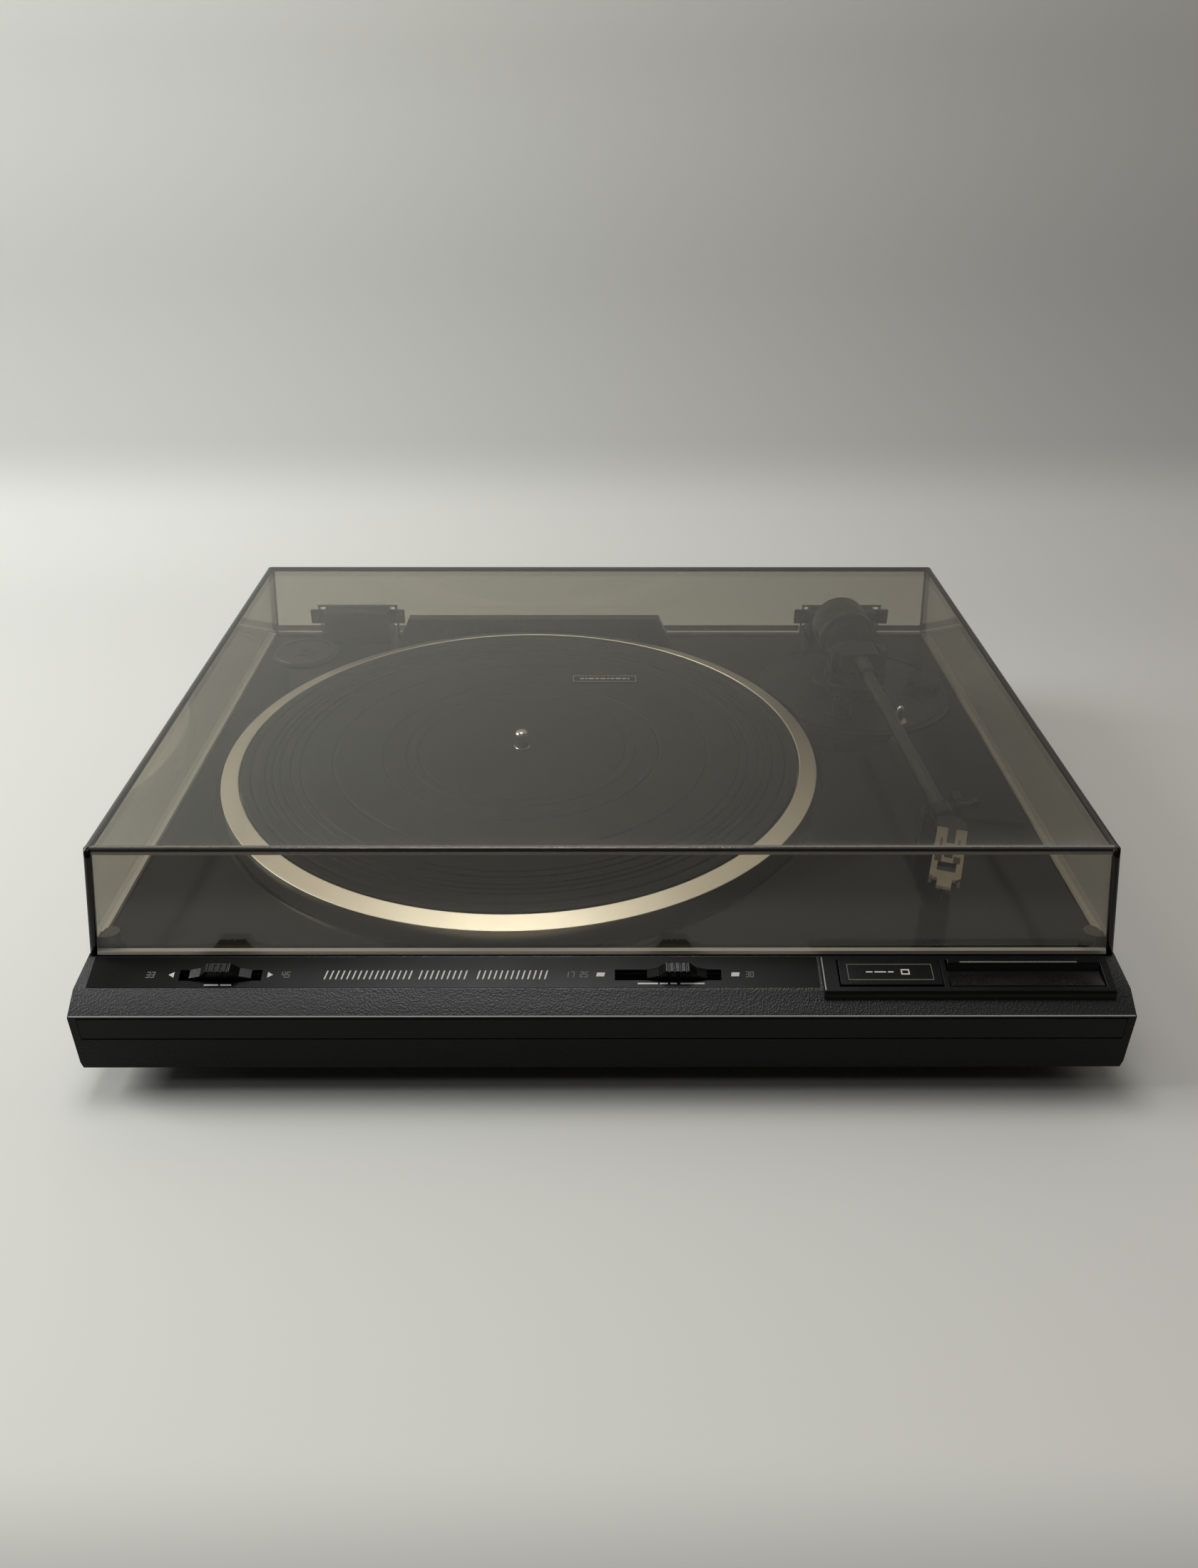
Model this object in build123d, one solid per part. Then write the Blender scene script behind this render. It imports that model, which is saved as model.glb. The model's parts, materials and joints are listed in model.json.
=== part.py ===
from build123d import *
import math
import os

os.makedirs("parts", exist_ok=True)

# Belt-drive auto-return turntable with a hinged smoked dust cover.
# Units are millimetres. X runs right from the centre line, Z up from the surface it stands on.
# Y is measured back from the front edge of the plinth here, and moved to the middle when a piece is written.

# Plinth
PLINTH_W = 420.0          # widest, at the front ledge
PLINTH_D = 360.0
DECK_LEAN = 2.0
DECK_W = PLINTH_W - 2 * DECK_LEAN            # at the deck, above the bevelled sides
BASE_LEAN = 0.8
BASE_W = PLINTH_W - 2 * BASE_LEAN            # at the bottom edge, below the chamfer
BASE_Z = 13.5             # underside of the plinth
BASE_CHAMFER_H = 3.0
LEDGE_Z = 40.2            # front edge, the bright line of the fascia
BAND_Y = 10.0             # where the grainy band meets the control slope
BAND_Z = 46.2
SLOPE_TOP_Y = 25.5
DECK_Z = 51.2
SIDE_BEVEL_Z = 46.0       # where the side walls start to lean in
WALL = 2.5
DECK_T = 2.5
REAR_BEVEL = 1.5

# Feet
FOOT_X = 165.0
FOOT_FRONT_Y = 48.0
FOOT_REAR_Y = PLINTH_D - FOOT_FRONT_Y
FOOT_R = 22.0
FOOT_TIP_R = 19.0
PAD_R = 16.0
PAD_T = 2.4
PAD_SEAT = 1.4            # depth of the pad's pocket in the foot
FOOT_GAP = 0.1

# Bottom cover and its screws
COVER_T = 2.5
COVER_GAP = 0.4
BOSS_R = 4.5
SCREW_R = 1.5
SCREW_HEAD_R = 3.0
SCREW_HEAD_H = 1.6
SCREW_LEN = 12.0
THREAD_GAP = 0.05
BOSS_SIDE = 15.0
BOSS_X = BASE_W / 2 - BOSS_SIDE
BOSS_FRONT_Y = 34.0
BOSS_REAR = 14.0
BOSS_REAR_Y = PLINTH_D - BOSS_REAR
BOSS_MID_X = 60.0

# Front strip, overlay panel and keys
STRIP_H = 10.4
STRIP_T = 1.2
STRIP_TOP_DROP = 0.9      # below the ledge line
STRIP_MARGIN = 3.4        # from each side of the plinth
STRIP_GAP = 0.15
PANEL_T = 0.8
PANEL_SIDE = 5.0
PANEL_X0 = PANEL_SIDE - PLINTH_W / 2
PANEL_MARGIN_LOW = 0.5    # up the slope from the band
PANEL_MARGIN_TOP = 1.6
SLOT_W = 5.0              # across the slope
SPEED_SLOT_X0 = -169.2
SPEED_SLOT_X1 = -136.3
SIZE_SLOT_X0 = 4.9
SIZE_SLOT_X1 = 47.6
SLOT_UP = 6.3             # slot centre, up the slope from the band line
SPEED_KNOB_X = -152.5
SIZE_KNOB_X = 29.8
SPEED_KNOB_L = 25.0
SIZE_KNOB_L = 24.0
KNOB_PEAK_L = 9.4
KNOB_PEAK_H = 5.6
KNOB_WING_H = 1.5
KNOB_BASE_H = 0.7
KNOB_GAP = 0.3
KNOB_W = 4.2
STEM_L = 6.0
STEM_W = 3.0
STEM_DEPTH = 8.0
SWITCH_W = 7.0
SWITCH_FLOOR = 2.2

HOUSING_X0 = 87.6
HOUSING_SIDE = 7.0
HOUSING_X1 = PLINTH_W / 2 - HOUSING_SIDE
HOUSING_FRONT_Y = 5.9
HOUSING_LIP_Z = 47.4
HOUSING_REAR_Y = 22.6
HOUSING_REAR_Z = 52.4
KEY_GAP = 0.35
STOP_KEY_X0 = 94.4
STOP_KEY_X1 = 135.0
LIFT_KEY_X0 = 138.0
HOUSING_RIM = 3.6
LIFT_KEY_X1 = HOUSING_X1 - HOUSING_RIM
KEY_FRONT_Y = 9.2
KEY_REAR_Y = 20.4
KEY_PROUD = 0.5           # top of the stop key over the housing
LIFT_KEY_DIP = 1.4        # the lift key's front slope below the housing
LIFT_RIDGE_H = 1.5        # the lift key's bright ridge over the housing
LIFT_RIDGE_W = 2.4
KEY_SKIRT = 6.5
KEY_TRAVEL = 2.0
STEM_GUIDE_R = 3.0

# Platter group
SPINDLE_SIDE = 169.5
SPINDLE_X = SPINDLE_SIDE - PLINTH_W / 2
SPINDLE_BACK = 0.8
SPINDLE_Y = PLINTH_D / 2 + SPINDLE_BACK
PLATTER_SIDE = 30.0  # what the plinth leaves at the front and the rear
PLATTER_R = PLINTH_D / 2 - PLATTER_SIDE
PLATTER_TOP_Z = 60.8
RING_W = 9.0
RING_FALL = 2.3            # the ring slopes down outwards over its width
RIM_T = 3.6
RIM_BOTTOM_Z = 46.8
PLATE_T = 3.0
MAT_SIDE = 9.4
MAT_R = PLATTER_R - MAT_SIDE
MAT_T = 3.6
MAT_GAP = 0.2
MAT_PROUD = 0.2
MAT_GROOVES = 13
MAT_GROOVE_W = 1.1
MAT_GROOVE_D = 0.5
MAT_GROOVE_R0 = 44.0
MAT_GROOVE_SIDE = 10.2
MAT_GROOVE_STEP = (MAT_R - MAT_GROOVE_SIDE - MAT_GROOVE_R0) / (MAT_GROOVES - 1)
MAT_HOLE_R = 4.2
WELL_SIDE = 4.5
WELL_R = PLATTER_R + WELL_SIDE
WELL_FLOOR_Z = 44.2
BELT_RIM_R = 62.0
BELT_RIM_T = 3.2
HUB_R = 11.0
SPINDLE_R = 3.6           # the record pin, above the mat
AXLE_R = 4.0              # below the mat, in the hub and the bearing
SPINDLE_TIP_Z = 70.0
SPINDLE_BOTTOM_Z = 22.0
HUB_FIT = 0.02
BEARING_FIT = 0.05
BEARING_R = 7.5
BEARING_FLANGE_R = 17.0
BEARING_FLANGE_T = 2.6
BEARING_TOP_Z = 46.0
BEARING_FLOOR_T = 3.0
THRUST_R = 3.2
THRUST_T = 1.5
THRUST_GAP = 0.3
PLAQUE_X = 2.6
PLAQUE_REACH = 77.6
PLAQUE_Y = SPINDLE_Y + PLAQUE_REACH
PLAQUE_W = 36.6
PLAQUE_D = 8.4
PLAQUE_T = 0.6

# Drive under the platter
MOTOR_ANGLE = 135.0       # from +X, seen from above
MOTOR_DISTANCE = 100.0
PULLEY_R = 6.3
PULLEY_BELOW = 1.4        # pulley below and above the belt
PULLEY_ABOVE = 0.7
PULLEY_FLANGE = 1.1
BELT_T = 0.8
BELT_H = 3.4
BELT_Z = 49.9
BELT_RIM_DROP = 0.4       # belt rim below the belt, above the return gear
BELT_CLEAR = 0.3
SHAFT_R = 1.2
SHAFT_END_GAP = 0.4
SHAFT_HOLE_R = 9.0
MOTOR_R = 19.0
MOTOR_H = 18.0
BRACKET_W = 56.0
BRACKET_T = 2.0
MOTOR_SCREW_X = 23.0
MOTOR_SCREW_R = 1.4

# Auto-return gears, above the well floor and inside the belt rim
GEAR_MODULE = 1.0
PINION_TEETH = 17
CAM_TEETH = 42
CAM_ANGLE = -50.0
GEAR_T = 3.2
GEAR_Z = 46.4
GEAR_BACKLASH = 0.35
CAM_OPEN_DEG = 46.0       # toothless sector that faces the pinion
CAM_POST_R = 3.0
CAM_BORE_FIT = 0.08
CAM_POST_HEAD_R = 4.6
CAM_POST_HEAD_H = 1.0
CAM_LIFT = 0.3
PINION_LIFT = 0.3

# Tonearm
PIVOT_SIDE = 64.5
PIVOT_X = PLINTH_W / 2 - PIVOT_SIDE
PIVOT_REAR = 101.0
PIVOT_Y = PLINTH_D - PIVOT_REAR
ARM_Z = 75.0
ARM_REST_DEG = 2.24       # the tube leans this far outwards on its rest
TUBE_R = 3.2
TUBE_BORE_R = 2.4
TUBE_START = 9.0
TUBE_FRONT = 98.0
TUBE_END = PIVOT_Y - TUBE_FRONT
SLEEVE_R = 4.8
SLEEVE_L = 16.0
ARM_BASE_R = 54.5
ARM_BASE_TOP_Z = 54.4
ARM_BASE_RIM_W = 2.0
ARM_BASE_RIM_H = 0.7
ARM_BASE_WELL_GAP = 1.6
PILLAR_R = 15.0
PILLAR_TOP_Z = 63.0
PILLAR_STEM_R = 9.0
PILLAR_STEM_Z = 34.0
PILLAR_HOLE_GAP = 0.2
PILLAR_BORE_FIT = 0.06
NUT_W = 5.0
NUT_H = 4.0
YOKE_SHAFT_R = 4.0
YOKE_SHAFT_Z = 38.0
YOKE_GAP = 0.4
YOKE_R = 17.5
YOKE_T = 3.4
YOKE_EAR_IN = 11.4
YOKE_EAR_OUT = 15.4
YOKE_EAR_W = 11.0
YOKE_EAR_TOP = 5.5        # above the tube's axis
TRUNNION_R = 1.6
TRUNNION_FIT = 0.05
TRUNNION_IN_EAR = 2.6
BLOCK_W = 21.6
BLOCK_L = 18.0
BLOCK_H = 11.0
STUB_R = 3.0
STUB_END = 50.5
DIAL_R = 13.0
DIAL_FROM = 18.5
DIAL_T = 4.6
WEIGHT_R = 16.0
WEIGHT_FROM = 24.0
WEIGHT_L = 26.0
WEIGHT_BORE_FIT = 0.1
WEIGHT_GROOVES = 3

HEAD_COLLAR_R = 4.4
HEAD_COLLAR_L = 8.0
SHELL_OFFSET_DEG = 21.5
BEND_GAP = 18.5
SHELL_START = TUBE_END + BEND_GAP    # where the offset bend lies along the arm
SHELL_Z = 76.6            # top face of the headshell
SHELL_T = 1.3
SHELL_W = 12.6
SHELL_L = 39.4
SHELL_FROM = 0.4          # from the bend to the prongs' rear ends
PRONG_L = 12.0
PRONG_W = 4.6
SHELL_RAIL_H = 4.6
SHELL_RAIL_T = 1.2
SHELL_SLOT_W = 3.4
SHELL_SLOT_L = 9.0
SHELL_SLOT_AT = 14.5
SHELL_WINDOW_W = 7.6
SHELL_WINDOW_L = 6.6
SHELL_WINDOW_AT = 27.2
SHELL_TAB_W = 5.8
SHELL_TAB_L = 5.8
TONGUE_GAP = 0.1
NECK_END = 0.4            # rear face against the prongs, from the bend
NECK_H = 5.6
NECK_SIDE = 5.6
CART_W = 9.4
CART_L = 23.0
CART_H = 7.6
CART_AT = 13.6
STYLUS_W = 5.2
STYLUS_L = 8.0
STYLUS_TIP_Z = 63.4
CANTILEVER_R = 0.35

# Lifter, rest, anti-skate
LIFTER_R = 34.0           # from the arm's pivot
LIFTER_POST_DEG = 24.0    # inwards from the tube at rest
LIFTER_OUT_DEG = 12.0
LIFTER_IN_DEG = 56.0
LIFTER_BAR_W = 3.0
LIFTER_BAR_T = 2.0
LIFTER_POST_R = 2.0
LIFTER_POST_Z = 44.0
LIFTER_GUIDE_R = 5.0
LIFTER_GUIDE_TOP = 64.0
LIFTER_FIT = 0.06
LIFT_CLEAR = 0.3

LEDGE_STEP = 5.3
LEDGE_X0 = PIVOT_X + LEDGE_STEP          # raised plateau right of the tube, at its front left corner
LEDGE_SLANT = 4.6
LEDGE_X0_REAR = LEDGE_X0 + LEDGE_SLANT
LEDGE_Y0 = 126.5
LEDGE_Y0_RIGHT = 119.0
LEDGE_REAR = 27.0
LEDGE_Y1 = PIVOT_Y - LEDGE_REAR
LEDGE_SIDE = 6.8
LEDGE_X1 = PLINTH_W / 2 - LEDGE_SIDE
LEDGE_H = 2.4
REST_STEP = 1.5
REST_X0 = PIVOT_X + REST_STEP
REST_W = 16.6
REST_X1 = REST_X0 + REST_W
REST_Y = 107.0
REST_D = 7.0
REST_LIP_T = 4.0
REST_LIP_H = 5.6
CLIP_PIN_R = 0.9
CLIP_L = 8.5
CLIP_T = 2.0
CLIP_W = 2.6
CLIP_TIP_L = 3.2
CLIP_FIT = 0.06

STOP_STEP = 17.0
STOP_X = PIVOT_X + STOP_STEP
STOP_FRONT = 40.0
STOP_Y = PIVOT_Y - STOP_FRONT
STOP_R = 2.2
STOP_TOP_Z = 64.5

SKATE_SIDE = 23.2
SKATE_X = PLINTH_W / 2 - SKATE_SIDE
SKATE_BACK = 4.8
SKATE_Y = PIVOT_Y + SKATE_BACK
SKATE_R = 10.0
SKATE_H = 4.6
SKATE_STEM_R = 3.0
SKATE_GAP = 0.3

# Adaptor for large-hole records
ADAPTOR_SIDE = 28.9
ADAPTOR_X = ADAPTOR_SIDE - PLINTH_W / 2
ADAPTOR_REAR = 45.0
ADAPTOR_Y = PLINTH_D - ADAPTOR_REAR
ADAPTOR_R = 19.05
ADAPTOR_T = 6.6
ADAPTOR_BORE_R = 3.7
ADAPTOR_WELL_GAP = 0.4
ADAPTOR_WELL_D = 4.4
ADAPTOR_RIM_W = 2.6
ADAPTOR_RIM_H = 1.2

# Raised cover at the rear of the deck
HUMP_X0 = -126.4
HUMP_X1 = 44.5
HUMP_END_LEAN = 7.6
HUMP_FRONT = 33.0
HUMP_FRONT_Y = PLINTH_D - HUMP_FRONT
HUMP_FRONT_LEAN = 5.2
HUMP_REAR = 20.8
HUMP_REAR_Y = PLINTH_D - HUMP_REAR
HUMP_UNDERCUT_Z = 61.5     # cut back to the platter's well below this
RECORD_SIDE = 1.9
RECORD_R = PLATTER_R + RECORD_SIDE       # room for a record's edge beside the cover
HUMP_LIP_Z = 64.4
HUMP_TOP_Z = 66.5
HUMP_WALL = 2.2

# Lid
LID_SIDE = 2.5
LID_W = PLINTH_W - 2 * LID_SIDE
LID_FRONT_Y = 24.7
LID_REAR = 14.6
LID_REAR_Y = PLINTH_D - LID_REAR
LID_Z0 = 51.5
LID_TOP_Z = 98.75
LID_SIDE_DRAFT = 5.0
LID_FRONT_DRAFT = 6.6
LID_REAR_DRAFT = 7.0
LID_WALL = 2.6
LID_EDGE_R = 1.6
LID_REAR_CUT = 14.0       # how far in the rear wall's cuts reach, past its draft
HINGE_X = 151.5
NOTCH_HALF = 23.2
NOTCH_TOP_Z = 71.5

# Hinges
HINGE_REAR = 8.6
HINGE_Y = PLINTH_D - HINGE_REAR
HINGE_Z = 56.4
LEAF_HALF = 19.8
LEAF_FRONT = 28.5
LEAF_FRONT_Y = PLINTH_D - LEAF_FRONT
LEAF_REAR = 13.4
LEAF_REAR_Y = PLINTH_D - LEAF_REAR
LEAF_Z0 = 52.6
LEAF_TOP_GAP = 0.4
BARREL_R = 3.2
BARREL_HALF = 14.4
PIN_R = 1.6
PIN_FIT = 0.05
EAR_T = 4.6
EAR_R = 3.8
EAR_GAP = 0.35
HINGE_PLATE_T = 1.0
HINGE_PLATE_FRONT = 12.6
HINGE_PLATE_Y0 = PLINTH_D - HINGE_PLATE_FRONT
HINGE_PLATE_REAR = 1.6
HINGE_PLATE_Y1 = PLINTH_D - HINGE_PLATE_REAR
WING_T = 1.8
WING_Z = 61.2             # above the raised rear cover's corner
WING_OVERLAP = 6.0
WING_H = 8.8
WING_GAP = 0.05
LEAF_SCREW_R = 1.3
LEAF_SCREW_HEAD_R = 2.4
LEAF_SCREW_HEAD_H = 1.0
BUMPER_R = 3.4
BUMPER_H = 6.0
BUMPER_LIFT = 0.2

# Electrics inside the plinth
TRANS_X = -165.0
TRANS_REAR = 98.0
TRANS_Y = PLINTH_D - TRANS_REAR
TRANS_W = 44.0
TRANS_D = 36.0
TRANS_H = 24.0
TRANS_COIL_H = 16.0
TRANS_COIL_GROW = 4.0
BOARD_SIDE = 14.0
BOARD_X1 = PLINTH_W / 2 - BOARD_SIDE
BOARD_W = 78.0
BOARD_X0 = BOARD_X1 - BOARD_W
BOARD_Y0 = 62.0
BOARD_Y1 = 150.0
BOARD_T = 1.6
BOARD_LIFT = 5.0
BOARD_POST_R = 3.2
BOARD_POST_INSET = 6.0
CAP_R = 5.0
CAP_INSET = 16.0
CAP_ROW_Y = 20.0
CAP_STEP = 15.0
CHIP_ROW_Y = 44.0
CHIP_STEP = 18.0
CAP_H = 12.0
CHIP_L = 20.0
CHIP_W = 7.0
CHIP_H = 3.6
GLAND_R = 5.0
GLAND_FLANGE_R = 7.0
GLAND_FLANGE_T = 2.0
GLAND_L = 10.0
GLAND_BORE_R = 2.6
GLAND_Z = 28.0
REAR_CUT = 30.0           # how far in the rear holes are drilled
MAINS_GLAND_X = -160.0
SIGNAL_GLAND_X = 110.0
REAR_RECESS_D = 8.0
REAR_RECESS_HALF = 26.0
REAR_RECESS_Z0 = 19.0
REAR_RECESS_Z1 = 38.0
EARTH_X = 128.0
EARTH_R = 2.0
EARTH_NUT_R = 4.2
EARTH_L = 6.5

SLOPE_DEG = math.degrees(math.atan2(DECK_Z - BAND_Z, SLOPE_TOP_Y - BAND_Y))
SLOPE_L = math.hypot(DECK_Z - BAND_Z, SLOPE_TOP_Y - BAND_Y)
WELL_UNDER_Z = WELL_FLOOR_Z - DECK_T
MOTOR_X = SPINDLE_X + MOTOR_DISTANCE * math.cos(math.radians(MOTOR_ANGLE))
MOTOR_Y = SPINDLE_Y + MOTOR_DISTANCE * math.sin(math.radians(MOTOR_ANGLE))
UNDER = (Align.CENTER, Align.CENTER, Align.MIN)


def write(name, shape):
    """Write a piece with the origin under the middle of the plinth."""
    moved = Pos(0, -PLINTH_D / 2, 0) * shape
    moved.label = name
    export_step(moved, "parts/" + name + ".step")


def block(x0, x1, y0, y1, z0, z1):
    corner = Box(x1 - x0, y1 - y0, z1 - z0, align=(Align.MIN, Align.MIN, Align.MIN))
    return Pos(x0, y0, z0) * corner


def disc(x, y, r, z0, z1):
    return Pos(x, y, z0) * Cylinder(r, z1 - z0, align=UNDER)


def frustum(x, y, r0, r1, z0, z1):
    return Pos(x, y, z0) * Cone(r0, r1, z1 - z0, align=UNDER)


def ring(x, y, r_in, r_out, z0, z1):
    return disc(x, y, r_out, z0, z1) - disc(x, y, r_in, z0 - 1, z1 + 1)


def rod_x(x0, x1, y, z, r):
    return Pos(x0, y, z) * Rot(0, 90, 0) * Cylinder(r, x1 - x0, align=UNDER)


def rod_y(x, y0, y1, z, r):
    return Pos(x, y0, z) * Rot(-90, 0, 0) * Cylinder(r, y1 - y0, align=UNDER)


def side_profile(points, x0, x1):
    """Extrude an outline of (y, z) points from x0 to x1."""
    sheet = Plane(origin=(x0, 0, 0), x_dir=(0, 1, 0), z_dir=(1, 0, 0))
    return extrude(sheet * Polygon(*points, align=None), amount=x1 - x0, dir=(1, 0, 0))


def front_profile(points, y0, y1):
    """Extrude an outline of (x, z) points from y0 back to y1."""
    sheet = Plane(origin=(0, y1, 0), x_dir=(1, 0, 0), z_dir=(0, -1, 0))
    return extrude(sheet * Polygon(*points, align=None), amount=y1 - y0, dir=(0, -1, 0))


def plan_profile(points, z0, z1):
    """Extrude an outline of (x, y) points from z0 up to z1."""
    return extrude(Plane.XY.offset(z0) * Polygon(*points, align=None), amount=z1 - z0, dir=(0, 0, 1))


def on_slope(shape):
    """Place a shape made flat at the band line onto the control slope, with its own Y up the slope."""
    return Pos(0, BAND_Y, BAND_Z) * Rot(SLOPE_DEG, 0, 0) * shape


def slope_z(y):
    return BAND_Z + (y - BAND_Y) * math.tan(math.radians(SLOPE_DEG))


def band_z(y):
    return LEDGE_Z + (BAND_Z - LEDGE_Z) * y / BAND_Y


def lid_rear(z):
    """Y of the lid's outer rear face at height z."""
    return LID_REAR_Y - LID_REAR_DRAFT * (z - LID_Z0) / (LID_TOP_Z - LID_Z0)


def plinth_outer(inset):
    """The plinth's outside, or its inside when inset by the wall."""
    side = side_profile([
        (inset, BASE_Z - inset), (inset, LEDGE_Z - inset / 2), (BAND_Y, BAND_Z - inset),
        (SLOPE_TOP_Y, DECK_Z - inset), (PLINTH_D - REAR_BEVEL - inset / 2, DECK_Z - inset),
        (PLINTH_D - inset, DECK_Z - REAR_BEVEL - inset), (PLINTH_D - inset, BASE_Z - inset),
    ], -PLINTH_W / 2, PLINTH_W / 2)
    half = PLINTH_W / 2 - inset
    low = BASE_W / 2 - inset
    top = DECK_W / 2 - inset
    front = front_profile([
        (-low, BASE_Z - inset), (low, BASE_Z - inset), (half, BASE_Z + BASE_CHAMFER_H), (half, SIDE_BEVEL_Z),
        (top, DECK_Z), (-top, DECK_Z), (-half, SIDE_BEVEL_Z), (-half, BASE_Z + BASE_CHAMFER_H),
    ], 0, PLINTH_D)
    return side & front


def boss_places():
    """Where the bottom cover is screwed up."""
    return [(x, y) for y in (BOSS_FRONT_Y, BOSS_REAR_Y) for x in (-BOSS_X, -BOSS_MID_X, BOSS_MID_X, BOSS_X)]


def foot_places():
    return {
        "foot_front_left": (-FOOT_X, FOOT_FRONT_Y), "foot_front_right": (FOOT_X, FOOT_FRONT_Y),
        "foot_rear_left": (-FOOT_X, FOOT_REAR_Y), "foot_rear_right": (FOOT_X, FOOT_REAR_Y),
    }


def boss_top(x, y):
    """Height inside the skin that a screw boss hangs from: the deck or the platter's well."""
    if math.hypot(x - SPINDLE_X, y - SPINDLE_Y) < WELL_R:
        return WELL_FLOOR_Z - DECK_T / 2
    return DECK_Z - DECK_T / 2


def ledge_outline(grow):
    """Plan of the raised plateau beside the tonearm."""
    return [
        (LEDGE_X0 - grow, LEDGE_Y0 - grow), (LEDGE_X1 + grow, LEDGE_Y0_RIGHT - grow),
        (LEDGE_X1 + grow, LEDGE_Y1 + grow), (LEDGE_X0_REAR - grow, LEDGE_Y1 + grow),
    ]


def slot_cut(x0, x1):
    """A slider's slot through the overlay and the fascia."""
    return on_slope(block(x0, x1, SLOT_UP - SLOT_W / 2, SLOT_UP + SLOT_W / 2, -STEM_DEPTH, PANEL_T + 1))


def panel_solid(drop):
    low = PANEL_MARGIN_LOW
    high = SLOPE_L - PANEL_MARGIN_TOP
    return on_slope(block(PANEL_X0, HOUSING_X0 - 1, low, high, -drop, 0))


def strip_solid(grow):
    top = LEDGE_Z - STRIP_TOP_DROP
    half = PLINTH_W / 2 - STRIP_MARGIN
    return block(-half - grow, half + grow, -1, STRIP_T, top - STRIP_H - grow, top + grow)


def make_plinth():
    body = plinth_outer(0) - plinth_outer(WALL)
    well_outer = disc(SPINDLE_X, SPINDLE_Y, WELL_R + DECK_T, WELL_UNDER_Z, DECK_Z - DECK_T)
    body += well_outer & plinth_outer(WALL / 2)
    body -= disc(SPINDLE_X, SPINDLE_Y, WELL_R, WELL_FLOOR_Z, DECK_Z + 1)
    body += disc(ADAPTOR_X, ADAPTOR_Y, ADAPTOR_R + ADAPTOR_WELL_GAP + WALL, DECK_Z - ADAPTOR_WELL_D - DECK_T,
                 DECK_Z - DECK_T)
    body -= disc(ADAPTOR_X, ADAPTOR_Y, ADAPTOR_R + ADAPTOR_WELL_GAP, DECK_Z - ADAPTOR_WELL_D, DECK_Z + 1)
    for x, y in boss_places():
        body += disc(x, y, BOSS_R, BASE_Z + COVER_T, boss_top(x, y))
        body -= disc(x, y, SCREW_R + THREAD_GAP, 0, BASE_Z + COVER_T + SCREW_LEN)
    body -= disc(SPINDLE_X, SPINDLE_Y, BEARING_R + FOOT_GAP, WELL_UNDER_Z - 1, WELL_FLOOR_Z + 1)
    body -= disc(MOTOR_X, MOTOR_Y, SHAFT_HOLE_R, WELL_UNDER_Z - 1, WELL_FLOOR_Z + 1)
    body -= disc(PIVOT_X, PIVOT_Y, PILLAR_STEM_R + PILLAR_HOLE_GAP, 0, DECK_Z + 1)
    post_x, post_y = lifter_post()
    body -= disc(post_x, post_y, LIFTER_GUIDE_R + PILLAR_HOLE_GAP, 0, DECK_Z + 1)
    body -= disc(SKATE_X, SKATE_Y, SKATE_STEM_R + SKATE_GAP, 0, DECK_Z + 1)
    body -= strip_solid(STRIP_GAP)
    body -= panel_solid(PANEL_T)
    body -= slot_cut(SPEED_SLOT_X0, SPEED_SLOT_X1)
    body -= slot_cut(SIZE_SLOT_X0, SIZE_SLOT_X1)
    for x0, x1 in ((STOP_KEY_X0, STOP_KEY_X1), (LIFT_KEY_X0, LIFT_KEY_X1)):
        body -= block(x0 - KEY_GAP, x1 + KEY_GAP, KEY_FRONT_Y - KEY_GAP, KEY_REAR_Y + KEY_GAP,
                      BAND_Z - KEY_SKIRT - KEY_TRAVEL - 2, DECK_Z + 1)
    for x in (MAINS_GLAND_X, SIGNAL_GLAND_X):
        body += block(x - REAR_RECESS_HALF - WALL, x + REAR_RECESS_HALF + WALL,
                      PLINTH_D - REAR_RECESS_D - WALL, PLINTH_D - WALL / 2,
                      REAR_RECESS_Z0 - WALL, REAR_RECESS_Z1 + WALL)
        body -= block(x - REAR_RECESS_HALF, x + REAR_RECESS_HALF, PLINTH_D - REAR_RECESS_D, PLINTH_D + 1,
                      REAR_RECESS_Z0, REAR_RECESS_Z1)
        body -= rod_y(x, PLINTH_D - REAR_CUT, PLINTH_D + 1, GLAND_Z, GLAND_R + FOOT_GAP)
    body -= rod_y(EARTH_X, PLINTH_D - REAR_CUT, PLINTH_D + 1, GLAND_Z, EARTH_R + FOOT_GAP)
    post_x, post_y = cam_place()
    body -= disc(post_x, post_y, CAM_POST_R, WELL_UNDER_Z - 1, WELL_FLOOR_Z + 1)
    ledge = plan_profile(ledge_outline(0), DECK_Z - DECK_T / 2, DECK_Z + LEDGE_H)
    ledge -= disc(PIVOT_X, PIVOT_Y, ARM_BASE_R + 0.6, DECK_Z, DECK_Z + LEDGE_H + 1)
    body += ledge
    return body


def make_bottom_cover():
    half = BASE_W / 2 - WALL - COVER_GAP
    inner = WALL + COVER_GAP
    plate = block(-half, half, inner, PLINTH_D - inner, BASE_Z, BASE_Z + COVER_T)
    for x, y in boss_places():
        plate -= disc(x, y, SCREW_R + FOOT_GAP, 0, BASE_Z + COVER_T + 1)
        plate -= disc(x, y, SCREW_HEAD_R + FOOT_GAP, 0, BASE_Z + SCREW_HEAD_H)
    for x, y in foot_places().values():
        plate += disc(x, y, BOSS_R, BASE_Z + COVER_T, BASE_Z + COVER_T + SCREW_LEN - SCREW_HEAD_H)
        plate -= disc(x, y, SCREW_R + THREAD_GAP, 0, BASE_Z + COVER_T + SCREW_LEN - SCREW_HEAD_H + 1)
    for x, y in board_posts():
        plate += disc(x, y, BOARD_POST_R, BASE_Z + COVER_T, BASE_Z + COVER_T + BOARD_LIFT)
    return plate


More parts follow.
